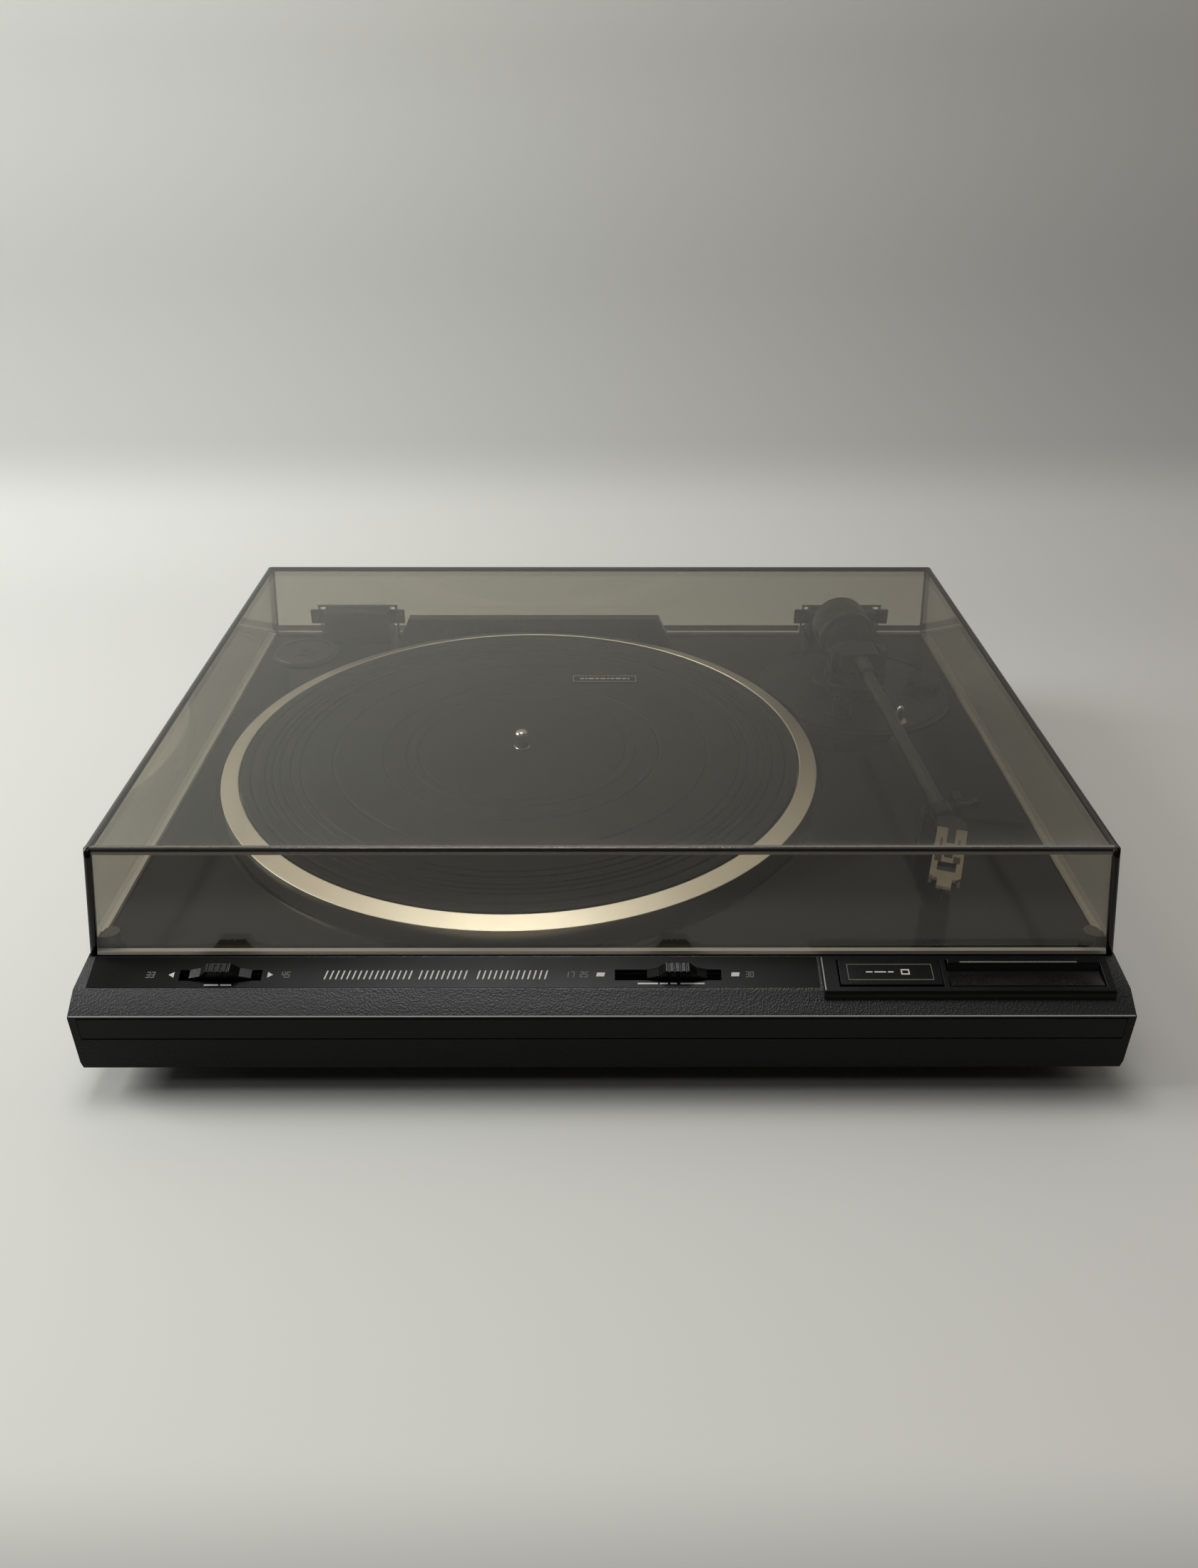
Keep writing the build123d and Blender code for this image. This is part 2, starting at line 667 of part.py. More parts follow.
def make_cover_screws():
    screws = []
    for x, y in boss_places():
        head = disc(x, y, SCREW_HEAD_R, BASE_Z + 0.1, BASE_Z + SCREW_HEAD_H)
        slot = block(x - SCREW_HEAD_R, x + SCREW_HEAD_R, y - 0.35, y + 0.35, BASE_Z, BASE_Z + 0.7)
        shank = disc(x, y, SCREW_R, BASE_Z + SCREW_HEAD_H, BASE_Z + SCREW_HEAD_H + SCREW_LEN)
        screws.append(head - slot + shank)
    return screws


def make_foot(x, y):
    body = frustum(x, y, FOOT_TIP_R, FOOT_R, PAD_SEAT - 0.4, BASE_Z - 3.0) + disc(x, y, FOOT_R, BASE_Z - 3.0, BASE_Z)
    body -= disc(x, y, PAD_R + FOOT_GAP, 0, PAD_T)
    body -= disc(x, y, SCREW_HEAD_R + FOOT_GAP, PAD_T - 1, PAD_T + SCREW_HEAD_H + 1)
    body -= disc(x, y, SCREW_R + FOOT_GAP, PAD_T, BASE_Z + 1)
    return body


def make_foot_pads():
    pads = []
    for x, y in foot_places().values():
        pads.append(ring(x, y, SCREW_HEAD_R + FOOT_GAP, PAD_R, 0, PAD_T))
    return Compound(children=pads)


def make_foot_screws():
    screws = []
    for x, y in foot_places().values():
        seat = PAD_T + SCREW_HEAD_H + 1
        head = disc(x, y, SCREW_HEAD_R, seat - SCREW_HEAD_H, seat)
        shank = disc(x, y, SCREW_R, seat, BASE_Z + COVER_T + SCREW_LEN - SCREW_HEAD_H - 1)
        screws.append(head + shank)
    return screws


def make_front_strip():
    top = LEDGE_Z - STRIP_TOP_DROP
    half = PLINTH_W / 2 - STRIP_MARGIN
    strip = block(-half, half, 0, STRIP_T, top - STRIP_H, top)
    return chamfer(strip.edges().filter_by(Axis.X).group_by(Axis.Y)[0], 0.4)


def make_panel():
    return panel_solid(PANEL_T) - slot_cut(SPEED_SLOT_X0, SPEED_SLOT_X1) - slot_cut(SIZE_SLOT_X0, SIZE_SLOT_X1)


def key_top(y, rise):
    """Height of the key housing's top face at y, raised by rise."""
    lean = (HOUSING_REAR_Z - HOUSING_LIP_Z) / (HOUSING_REAR_Y - HOUSING_FRONT_Y)
    return HOUSING_LIP_Z + (y - HOUSING_FRONT_Y) * lean + rise


def make_key_housing():
    shell = side_profile([
        (HOUSING_FRONT_Y, band_z(HOUSING_FRONT_Y)), (HOUSING_FRONT_Y, HOUSING_LIP_Z - 0.8),
        (HOUSING_FRONT_Y + 0.8, key_top(HOUSING_FRONT_Y + 0.8, 0)), (HOUSING_REAR_Y, HOUSING_REAR_Z),
        (HOUSING_REAR_Y, slope_z(HOUSING_REAR_Y)), (BAND_Y, BAND_Z),
    ], HOUSING_X0, HOUSING_X1)
    for x0, x1 in ((STOP_KEY_X0, STOP_KEY_X1), (LIFT_KEY_X0, LIFT_KEY_X1)):
        shell -= block(x0 - KEY_GAP, x1 + KEY_GAP, KEY_FRONT_Y - KEY_GAP, KEY_REAR_Y + KEY_GAP, 0, HOUSING_REAR_Z + 1)
    return shell


def make_stop_key():
    cap = side_profile([
        (KEY_FRONT_Y, BAND_Z - KEY_SKIRT), (KEY_FRONT_Y, key_top(KEY_FRONT_Y, KEY_PROUD)),
        (KEY_REAR_Y, key_top(KEY_REAR_Y, KEY_PROUD)), (KEY_REAR_Y, BAND_Z - KEY_SKIRT),
    ], STOP_KEY_X0, STOP_KEY_X1)
    middle = (STOP_KEY_X0 + STOP_KEY_X1) / 2
    return cap + disc(middle, (KEY_FRONT_Y + KEY_REAR_Y) / 2, STEM_GUIDE_R, BAND_Z - KEY_SKIRT - 4, BAND_Z)


def make_lift_key():
    ridge = KEY_REAR_Y - LIFT_RIDGE_W
    cap = side_profile([
        (KEY_FRONT_Y, BAND_Z - KEY_SKIRT), (KEY_FRONT_Y, key_top(KEY_FRONT_Y, -0.2)),
        ((KEY_FRONT_Y + ridge) / 2, key_top((KEY_FRONT_Y + ridge) / 2, -LIFT_KEY_DIP)),
        (ridge - 1.2, key_top(ridge - 1.2, -LIFT_KEY_DIP)), (ridge, key_top(ridge, LIFT_RIDGE_H)),
        (KEY_REAR_Y - 0.6, key_top(KEY_REAR_Y, LIFT_RIDGE_H)), (KEY_REAR_Y, key_top(KEY_REAR_Y, 0)),
        (KEY_REAR_Y, BAND_Z - KEY_SKIRT),
    ], LIFT_KEY_X0, LIFT_KEY_X1)
    middle = (LIFT_KEY_X0 + LIFT_KEY_X1) / 2
    return cap + disc(middle, (KEY_FRONT_Y + KEY_REAR_Y) / 2, STEM_GUIDE_R, BAND_Z - KEY_SKIRT - 4, BAND_Z)


def make_slider(x, length):
    """Slider knob: sloping wings up to a ribbed peak, with a stem through the slot."""
    half = length / 2
    peak = KNOB_PEAK_L / 2
    base = KNOB_GAP
    outline = [
        (x - half, base), (x - half, base + KNOB_BASE_H), (x - peak - 3.0, base + KNOB_WING_H + KNOB_BASE_H),
        (x - peak, base + KNOB_PEAK_H), (x + peak, base + KNOB_PEAK_H),
        (x + peak + 3.0, base + KNOB_WING_H + KNOB_BASE_H), (x + half, base + KNOB_BASE_H), (x + half, base),
    ]
    knob = front_profile(outline, SLOT_UP - KNOB_W / 2, SLOT_UP + KNOB_W / 2)
    for step in range(4):
        rib = x - peak + KNOB_PEAK_L * (step + 0.5) / 4
        knob -= block(rib - 0.35, rib + 0.35, SLOT_UP - KNOB_W, SLOT_UP + KNOB_W, base + KNOB_PEAK_H - 0.6,
                      base + KNOB_PEAK_H + 1)
    stem = block(x - STEM_L / 2, x + STEM_L / 2, SLOT_UP - STEM_W / 2, SLOT_UP + STEM_W / 2, -STEM_DEPTH, base)
    return on_slope(knob + stem)


def make_slide_switches():
    """Two slide switches under the fascia, each open at the top for its slider's stem."""
    bodies = []
    skin = WALL * math.cos(math.radians(SLOPE_DEG))
    for x0, x1 in ((SPEED_SLOT_X0, SPEED_SLOT_X1), (SIZE_SLOT_X0, SIZE_SLOT_X1)):
        outer = block(x0 - 2, x1 + 2, SLOT_UP - SWITCH_W / 2, SLOT_UP + SWITCH_W / 2, -STEM_DEPTH - SWITCH_FLOOR, -skin)
        inner = block(x0, x1, SLOT_UP - STEM_W / 2 - 0.3, SLOT_UP + STEM_W / 2 + 0.3, -STEM_DEPTH - 0.3, 0)
        bodies.append(on_slope(outer - inner))
    return bodies


def make_platter():
    """Die-cast platter: bright ring, thin plate, outer rim, belt rim and hub, turned about the spindle."""
    top = PLATTER_TOP_Z
    plate_top = top - MAT_T + MAT_PROUD
    inner = PLATTER_R - RING_W
    hub_bottom = GEAR_Z + GEAR_T + PINION_LIFT
    belt_bottom = BELT_Z - BELT_RIM_DROP
    outline = [
        (AXLE_R + HUB_FIT, plate_top), (inner, plate_top), (inner, top - 0.5), (inner + 0.5, top),
        (PLATTER_R, top - RING_FALL), (PLATTER_R, RIM_BOTTOM_Z),
        (PLATTER_R - RIM_T, RIM_BOTTOM_Z), (PLATTER_R - RIM_T, plate_top - PLATE_T),
        (BELT_RIM_R, plate_top - PLATE_T), (BELT_RIM_R, belt_bottom),
        (BELT_RIM_R - BELT_RIM_T, belt_bottom), (BELT_RIM_R - BELT_RIM_T, plate_top - PLATE_T),
        (HUB_R, plate_top - PLATE_T), (HUB_R, hub_bottom), (AXLE_R + HUB_FIT, hub_bottom),
    ]
    sheet = Plane.XZ * Polygon(*outline, align=None)
    return Pos(SPINDLE_X, SPINDLE_Y, 0) * revolve(sheet, axis=Axis.Z)


def make_mat():
    bottom = PLATTER_TOP_Z - MAT_T + MAT_PROUD
    top = PLATTER_TOP_Z + MAT_PROUD
    mat = ring(SPINDLE_X, SPINDLE_Y, MAT_HOLE_R, MAT_R - MAT_GAP, bottom, top)
    for step in range(MAT_GROOVES):
        r = MAT_GROOVE_R0 + step * MAT_GROOVE_STEP
        mat -= ring(SPINDLE_X, SPINDLE_Y, r, r + MAT_GROOVE_W, top - MAT_GROOVE_D, top + 1)
    return mat


def make_plaque():
    top = PLATTER_TOP_Z + MAT_PROUD
    plate = block(PLAQUE_X - PLAQUE_W / 2, PLAQUE_X + PLAQUE_W / 2, PLAQUE_Y - PLAQUE_D / 2,
                  PLAQUE_Y + PLAQUE_D / 2, top, top + PLAQUE_T)
    return fillet(plate.edges().filter_by(Axis.Z), 0.8)


def make_spindle():
    """Axle with a shoulder level with the mat, and the thinner pin that a record goes on."""
    shoulder = PLATTER_TOP_Z + MAT_PROUD
    pin = disc(SPINDLE_X, SPINDLE_Y, SPINDLE_R, shoulder, SPINDLE_TIP_Z)
    pin = fillet(pin.edges().group_by(Axis.Z)[-1], SPINDLE_R * 0.7)
    axle = disc(SPINDLE_X, SPINDLE_Y, AXLE_R, SPINDLE_BOTTOM_Z, shoulder)
    return pin + chamfer(axle.edges().group_by(Axis.Z)[0], 1.0)


def make_bearing():
    bottom = SPINDLE_BOTTOM_Z - THRUST_T - THRUST_GAP - BEARING_FLOOR_T
    body = disc(SPINDLE_X, SPINDLE_Y, BEARING_R, bottom, BEARING_TOP_Z)
    body += disc(SPINDLE_X, SPINDLE_Y, BEARING_FLANGE_R, WELL_UNDER_Z - BEARING_FLANGE_T, WELL_UNDER_Z)
    body -= disc(SPINDLE_X, SPINDLE_Y, AXLE_R + BEARING_FIT, bottom + BEARING_FLOOR_T, BEARING_TOP_Z + 1)
    return body


def make_thrust_pad():
    top = SPINDLE_BOTTOM_Z - THRUST_GAP
    return disc(SPINDLE_X, SPINDLE_Y, THRUST_R, top - THRUST_T, top)


def gear(teeth, depth_in):
    """Spur gear outline with straight-sided teeth, as a sketch."""
    pitch_r = GEAR_MODULE * teeth / 2
    root = pitch_r - 1.2 * GEAR_MODULE
    tip = pitch_r + 0.9 * GEAR_MODULE
    pitch = 2 * math.pi / teeth
    points = []
    for tooth in range(teeth):
        for r, share in ((root, -0.30), (tip, -0.11), (tip, 0.11), (root, 0.30)):
            angle = pitch * (tooth + share)
            points.append((r * math.cos(angle), r * math.sin(angle)))
    sheet = make_face(Polyline(*points, close=True))
    return extrude(sheet, amount=depth_in)


def cam_place():
    reach = GEAR_MODULE * (PINION_TEETH + CAM_TEETH) / 2 + GEAR_BACKLASH
    angle = math.radians(CAM_ANGLE)
    return SPINDLE_X + reach * math.cos(angle), SPINDLE_Y + reach * math.sin(angle)


def make_hub_pinion():
    wheel = gear(PINION_TEETH, GEAR_T) - Pos(0, 0, -1) * Cylinder(AXLE_R + HUB_FIT, GEAR_T + 2, align=UNDER)
    return Pos(SPINDLE_X, SPINDLE_Y, GEAR_Z + PINION_LIFT) * wheel


def make_cam_gear():
    """Return wheel: its toothless sector faces the hub pinion while the arm is parked."""
    x, y = cam_place()
    root = GEAR_MODULE * (CAM_TEETH / 2 - 1.2)
    wheel = gear(CAM_TEETH, GEAR_T - 0.6)
    reach = GEAR_MODULE * CAM_TEETH
    half = math.radians(CAM_OPEN_DEG / 2)
    facing = math.radians(CAM_ANGLE + 180)
    sector = [(0, 0)]
    for turn in (-half, 0, half):
        sector.append((reach * math.cos(facing + turn), reach * math.sin(facing + turn)))
    sector_solid = extrude(make_face(Polyline(*sector, close=True)), amount=GEAR_T)
    wheel -= sector_solid - Cylinder(root - 0.3, 3 * GEAR_T)
    wheel -= Pos(0, 0, -1) * Cylinder(CAM_POST_R + CAM_BORE_FIT, GEAR_T + 2, align=UNDER)
    track = Cylinder(root - 4, 2, align=UNDER) - Cylinder(root - 6.5, 6)
    wheel -= Pos(0, 0, GEAR_T - 0.6 - 1.2) * track
    return Pos(x, y, GEAR_Z - CAM_LIFT) * wheel


def make_cam_post():
    x, y = cam_place()
    top = GEAR_Z - CAM_LIFT + GEAR_T - 0.6 + CAM_LIFT
    post = disc(x, y, CAM_POST_R, WELL_UNDER_Z, top)
    post += disc(x, y, CAM_POST_HEAD_R, WELL_FLOOR_Z, GEAR_Z - 2 * CAM_LIFT)
    return post + disc(x, y, CAM_POST_HEAD_R, top, top + CAM_POST_HEAD_H)


def make_motor():
    top = WELL_UNDER_Z - BRACKET_T
    can = disc(MOTOR_X, MOTOR_Y, MOTOR_R, top - MOTOR_H, top)
    can = fillet(can.edges().group_by(Axis.Z)[0], 1.5)
    can += disc(MOTOR_X, MOTOR_Y, MOTOR_R * 0.3, top - MOTOR_H - 2, top - MOTOR_H)
    return can - disc(MOTOR_X, MOTOR_Y, SHAFT_R + BEARING_FIT, top - MOTOR_H / 2, top + 1)


def make_motor_bracket():
    half = BRACKET_W / 2
    plate = block(MOTOR_X - half, MOTOR_X + half, MOTOR_Y - MOTOR_R, MOTOR_Y + MOTOR_R,
                  WELL_UNDER_Z - BRACKET_T, WELL_UNDER_Z)
    plate = fillet(plate.edges().filter_by(Axis.Z), 6)
    plate -= disc(MOTOR_X, MOTOR_Y, SHAFT_HOLE_R * 0.6, 0, DECK_Z)
    for side in (-1, 1):
        plate -= disc(MOTOR_X + side * MOTOR_SCREW_X, MOTOR_Y, MOTOR_SCREW_R + FOOT_GAP, 0, DECK_Z)
    return plate


def make_motor_screws():
    screws = []
    under = WELL_UNDER_Z - BRACKET_T
    for side in (-1, 1):
        x = MOTOR_X + side * MOTOR_SCREW_X
        head = disc(x, MOTOR_Y, SCREW_HEAD_R, under - SCREW_HEAD_H, under)
        screws.append(head + disc(x, MOTOR_Y, MOTOR_SCREW_R, under, WELL_UNDER_Z))
    return screws


def make_motor_shaft():
    top = BELT_Z + BELT_H + PULLEY_ABOVE
    return disc(MOTOR_X, MOTOR_Y, SHAFT_R, WELL_UNDER_Z - BRACKET_T - MOTOR_H / 2 + SHAFT_END_GAP, top)


def make_pulley():
    bottom = BELT_Z - PULLEY_BELOW
    top = BELT_Z + BELT_H + PULLEY_ABOVE
    outline = [
        (SHAFT_R + HUB_FIT, bottom), (PULLEY_R + PULLEY_FLANGE, bottom), (PULLEY_R + PULLEY_FLANGE, bottom + 0.5),
        (PULLEY_R, bottom + 1.0), (PULLEY_R, top), (SHAFT_R + HUB_FIT, top),
    ]
    sheet = Plane.XZ * Polygon(*outline, align=None)
    return Pos(MOTOR_X, MOTOR_Y, 0) * revolve(sheet, axis=Axis.Z)


def belt_outline(r_rim, r_pulley):
    """The area inside a belt's open loop round two circles, as a sketch at the belt's height."""
    angle = math.radians(MOTOR_ANGLE)
    tilt = math.acos((r_rim - r_pulley) / MOTOR_DISTANCE)
    corners = []
    for turn, x, y, r in ((tilt, SPINDLE_X, SPINDLE_Y, r_rim), (tilt, MOTOR_X, MOTOR_Y, r_pulley),
                          (-tilt, MOTOR_X, MOTOR_Y, r_pulley), (-tilt, SPINDLE_X, SPINDLE_Y, r_rim)):
        corners.append((x + r * math.cos(angle + turn), y + r * math.sin(angle + turn)))
    area = make_face(Polyline(*corners, close=True))
    return area + Pos(SPINDLE_X, SPINDLE_Y) * Circle(r_rim) + Pos(MOTOR_X, MOTOR_Y) * Circle(r_pulley)


def make_belt():
    inner = belt_outline(BELT_RIM_R + BELT_CLEAR, PULLEY_R + BELT_CLEAR)
    outer = belt_outline(BELT_RIM_R + BELT_CLEAR + BELT_T, PULLEY_R + BELT_CLEAR + BELT_T)
    return Pos(0, 0, BELT_Z) * extrude(outer - inner, amount=BELT_H)


def arm_place(shape):
    """Place a shape made along -Y from the pivot, with the pivot axis at its origin, at the parked angle."""
    return Pos(PIVOT_X, PIVOT_Y, 0) * Rot(0, 0, ARM_REST_DEG) * shape


def shell_place(shape):
    """Place a shape made along -Y from the offset bend onto the arm's end."""
    return arm_place(Pos(0, -SHELL_START, 0) * Rot(0, 0, -SHELL_OFFSET_DEG) * shape)


def lifter_post():
    angle = math.radians(ARM_REST_DEG - LIFTER_POST_DEG)
    return PIVOT_X + LIFTER_R * math.sin(angle), PIVOT_Y - LIFTER_R * math.cos(angle)


def make_arm_base():
    """Round base plate of the arm, cut back where the platter's well comes close."""
    body = disc(PIVOT_X, PIVOT_Y, ARM_BASE_R, DECK_Z, ARM_BASE_TOP_Z)
    body -= ring(PIVOT_X, PIVOT_Y, ARM_BASE_R - 2 * ARM_BASE_RIM_W, ARM_BASE_R - ARM_BASE_RIM_W,
                 ARM_BASE_TOP_Z - ARM_BASE_RIM_H, ARM_BASE_TOP_Z + 1)
    body -= disc(SPINDLE_X, SPINDLE_Y, WELL_R + ARM_BASE_WELL_GAP, 0, ARM_BASE_TOP_Z + 1)
    body -= disc(PIVOT_X, PIVOT_Y, PILLAR_STEM_R + PILLAR_HOLE_GAP, 0, ARM_BASE_TOP_Z + 1)
    x, y = lifter_post()
    body -= disc(x, y, LIFTER_GUIDE_R + PILLAR_HOLE_GAP, 0, ARM_BASE_TOP_Z + 1)
    body -= disc(SKATE_X, SKATE_Y, SKATE_STEM_R + SKATE_GAP, 0, ARM_BASE_TOP_Z + 1)
    return body


def make_arm_pillar():
    body = disc(PIVOT_X, PIVOT_Y, PILLAR_R, ARM_BASE_TOP_Z, PILLAR_TOP_Z)
    body = chamfer(body.edges().group_by(Axis.Z)[-1], 1.0)
    body += disc(PIVOT_X, PIVOT_Y, PILLAR_STEM_R, PILLAR_STEM_Z, ARM_BASE_TOP_Z)
    body += disc(PIVOT_X, PIVOT_Y, PILLAR_STEM_R + NUT_W, DECK_Z - DECK_T - NUT_H, DECK_Z - DECK_T)
    return body - disc(PIVOT_X, PIVOT_Y, YOKE_SHAFT_R + PILLAR_BORE_FIT, 0, PILLAR_TOP_Z + 1)


def make_arm_yoke():
    bottom = PILLAR_TOP_Z + YOKE_GAP
    body = Pos(0, 0, bottom) * Cylinder(YOKE_R, YOKE_T, align=UNDER)
    for side in (-1, 1):
        x0, x1 = sorted((side * YOKE_EAR_IN, side * YOKE_EAR_OUT))
        ear = block(x0, x1, -YOKE_EAR_W / 2, YOKE_EAR_W / 2, bottom + YOKE_T / 2, ARM_Z + YOKE_EAR_TOP)
        body += fillet(ear.edges().filter_by(Axis.X).group_by(Axis.Z)[-1], 3.0)
    body -= rod_x(-YOKE_EAR_IN - TRUNNION_IN_EAR, YOKE_EAR_IN + TRUNNION_IN_EAR, 0, ARM_Z, TRUNNION_R + TRUNNION_FIT)
    body += Pos(0, 0, YOKE_SHAFT_Z) * Cylinder(YOKE_SHAFT_R, bottom + 1 - YOKE_SHAFT_Z, align=UNDER)
    return arm_place(body)


def make_gimbal():
    half = BLOCK_W / 2
    body = block(-half, half, -BLOCK_L / 2, BLOCK_L / 2, ARM_Z - BLOCK_H / 2, ARM_Z + BLOCK_H / 2)
    body = fillet(body.edges().filter_by(Axis.Y), 2.5)
    reach = YOKE_EAR_IN + TRUNNION_IN_EAR - 0.3
    body += rod_x(-reach, reach, 0, ARM_Z, TRUNNION_R)
    return arm_place(body)


def make_arm_tube():
    body = rod_y(0, -TUBE_END, -TUBE_START, ARM_Z, TUBE_R)
    body += rod_y(0, -TUBE_START - SLEEVE_L, -TUBE_START, ARM_Z, SLEEVE_R)
    body -= rod_y(0, -TUBE_END - 1, -TUBE_START - SLEEVE_L / 2, ARM_Z, TUBE_BORE_R)
    return arm_place(body)


def make_arm_stub():
    return arm_place(rod_y(0, BLOCK_L / 2, STUB_END, ARM_Z, STUB_R))


def make_head_collar():
    """Moulded end of the arm: a socket on the tube, then the offset bend and the tongue between the prongs."""
    body = rod_y(0, -TUBE_END - HEAD_COLLAR_L, -TUBE_END, ARM_Z, HEAD_COLLAR_R)
    body += rod_y(0, -TUBE_END, -TUBE_END + 6, ARM_Z, TUBE_BORE_R - HUB_FIT)
    bend = Pos(0, -SHELL_START, 0) * Rot(0, 0, -SHELL_OFFSET_DEG)
    tongue = SHELL_W / 2 - PRONG_W - TONGUE_GAP
    end = -SHELL_FROM - PRONG_L
    reach = SHELL_START - TUBE_END - HEAD_COLLAR_L + 1.5
    turn = math.radians(SHELL_OFFSET_DEG)
    rear = []
    for side in (-1, 1):
        x = side * (HEAD_COLLAR_R - 0.8)
        rear.append((x * math.cos(turn) - reach * math.sin(turn), reach * math.cos(turn) + x * math.sin(turn)))
    half = SHELL_W / 2 - 0.8
    neck = plan_profile([
        rear[0], (-half, NECK_END), (-tongue, NECK_END), (-tongue, end + TONGUE_GAP),
        (tongue, end + TONGUE_GAP), (tongue, NECK_END), (half, NECK_END), (half, NECK_END + NECK_SIDE), rear[1],
    ], SHELL_Z - NECK_H, SHELL_Z - 0.1)
    return arm_place(body + bend * neck)


def make_headshell():
    """Pressed bright shell: two rear prongs, side rails, a slot, a front window and a front tab."""
    half = SHELL_W / 2
    rear = -SHELL_FROM
    front = rear - SHELL_L
    plate = plan_profile([
        (-half, rear), (-half, front + 2.0), (-half + 2.0, front), (-SHELL_TAB_W / 2, front),
        (-SHELL_TAB_W / 2, front - SHELL_TAB_L), (SHELL_TAB_W / 2, front - SHELL_TAB_L),
        (SHELL_TAB_W / 2, front), (half - 2.0, front), (half, front + 2.0), (half, rear),
    ], SHELL_Z - SHELL_T, SHELL_Z)
    gap = half - PRONG_W
    plate -= block(-gap, gap, rear - PRONG_L, rear + 1, 0, SHELL_Z + 1)
    slot_y = rear - SHELL_SLOT_AT
    plate -= block(-SHELL_SLOT_W / 2, SHELL_SLOT_W / 2, slot_y - SHELL_SLOT_L, slot_y, 0, SHELL_Z + 1)
    window_y = rear - SHELL_WINDOW_AT
    plate -= block(-SHELL_WINDOW_W / 2, SHELL_WINDOW_W / 2, window_y - SHELL_WINDOW_L, window_y, 0, SHELL_Z + 1)
    for side in (-1, 1):
        x0, x1 = sorted((side * half, side * (half - SHELL_RAIL_T)))
        plate += block(x0, x1, front + 2.0, rear, SHELL_Z - SHELL_RAIL_H, SHELL_Z)
    return shell_place(plate)


def make_cartridge():
    rear = -SHELL_FROM - CART_AT
    top = SHELL_Z - SHELL_T
    half = CART_W / 2
    body = side_profile([
        (rear, top), (rear, top - CART_H + 2), (rear - 3, top - CART_H), (rear - CART_L + 6, top - CART_H),
        (rear - CART_L, top - 3), (rear - CART_L, top),
    ], -half, half)
    cut = -SHELL_FROM - CART_AT - CART_L + STYLUS_L
    body -= block(-STYLUS_W / 2 - 0.1, STYLUS_W / 2 + 0.1, cut - STYLUS_L - 1, cut + 0.1, 0, top - 4.4)
    return shell_place(body)


def make_stylus():
    rear = -SHELL_FROM - CART_AT - CART_L + STYLUS_L
    top = SHELL_Z - SHELL_T - 4.5
    half = STYLUS_W / 2
    front = rear - STYLUS_L
    grip = side_profile([
        (rear, top), (rear, top - 3.0), (rear - 2, top - 3.8), (front + 2, top - 3.8), (front - 0.6, top - 1.4),
        (front - 0.6, top),
    ], -half, half)
    grip -= block(-1.2, 1.2, front - 1, rear - 1.6, 0, top - 2.2)
    tip_y = front + 1.2
    cantilever = side_profile([
        (rear - 1.0, top - 2.6), (rear - 1.0, top - 2.0), (tip_y - 0.6, STYLUS_TIP_Z + 1.2),
        (tip_y - 0.6, STYLUS_TIP_Z + 0.5), (tip_y, STYLUS_TIP_Z), (tip_y + 0.6, STYLUS_TIP_Z + 0.6),
    ], -CANTILEVER_R, CANTILEVER_R)
    return shell_place(grip + cantilever)


def make_counterweight():
    body = rod_y(0, WEIGHT_FROM, WEIGHT_FROM + WEIGHT_L, ARM_Z, WEIGHT_R)
    body = fillet(body.edges(), 1.2)
    for step in range(WEIGHT_GROOVES):
        y = WEIGHT_FROM + 5.0 + 3.0 * step
        groove = rod_y(0, y, y + 1.0, ARM_Z, WEIGHT_R + 1) - rod_y(0, y - 1, y + 2, ARM_Z, WEIGHT_R - 0.6)
        body -= groove
    body -= rod_y(0, WEIGHT_FROM - 1, WEIGHT_FROM + WEIGHT_L + 1, ARM_Z, STUB_R + WEIGHT_BORE_FIT)
    return arm_place(body)


def make_force_dial():
    body = rod_y(0, DIAL_FROM, DIAL_FROM + DIAL_T, ARM_Z, DIAL_R)
    body = chamfer(body.edges().group_by(Axis.Y)[0], 1.2)
    return arm_place(body - rod_y(0, DIAL_FROM - 1, DIAL_FROM + DIAL_T + 1, ARM_Z, STUB_R + WEIGHT_BORE_FIT))


def make_lifter_bar():
    """Curved bar concentric with the arm's pivot, carried on a post."""
    top = ARM_Z - TUBE_R - LIFT_CLEAR
    outer = LIFTER_R + LIFTER_BAR_W / 2
    inner = LIFTER_R - LIFTER_BAR_W / 2
    band = ring(PIVOT_X, PIVOT_Y, inner, outer, top - LIFTER_BAR_T, top)
    far = 3 * LIFTER_R
    wedge = [(PIVOT_X, PIVOT_Y)]
    spread = (LIFTER_OUT_DEG + LIFTER_IN_DEG) / 4
    for step in range(5):
        angle = math.radians(ARM_REST_DEG + LIFTER_OUT_DEG - step * spread)
        wedge.append((PIVOT_X + far * math.sin(angle), PIVOT_Y - far * math.cos(angle)))
    band &= plan_profile(wedge, top - LIFTER_BAR_T - 1, top + 1)
    x, y = lifter_post()
    return band + disc(x, y, LIFTER_POST_R, LIFTER_POST_Z, top - LIFTER_BAR_T / 2)


def make_lifter_guide():
    x, y = lifter_post()
    body = disc(x, y, LIFTER_GUIDE_R, DECK_Z - DECK_T, LIFTER_GUIDE_TOP)
    body = chamfer(body.edges().group_by(Axis.Z)[-1], 0.8)
    body += disc(x, y, LIFTER_GUIDE_R + 2, ARM_BASE_TOP_Z, ARM_BASE_TOP_Z + 1.4)
    return body - disc(x, y, LIFTER_POST_R + LIFTER_FIT, 0, LIFTER_GUIDE_TOP + 1)


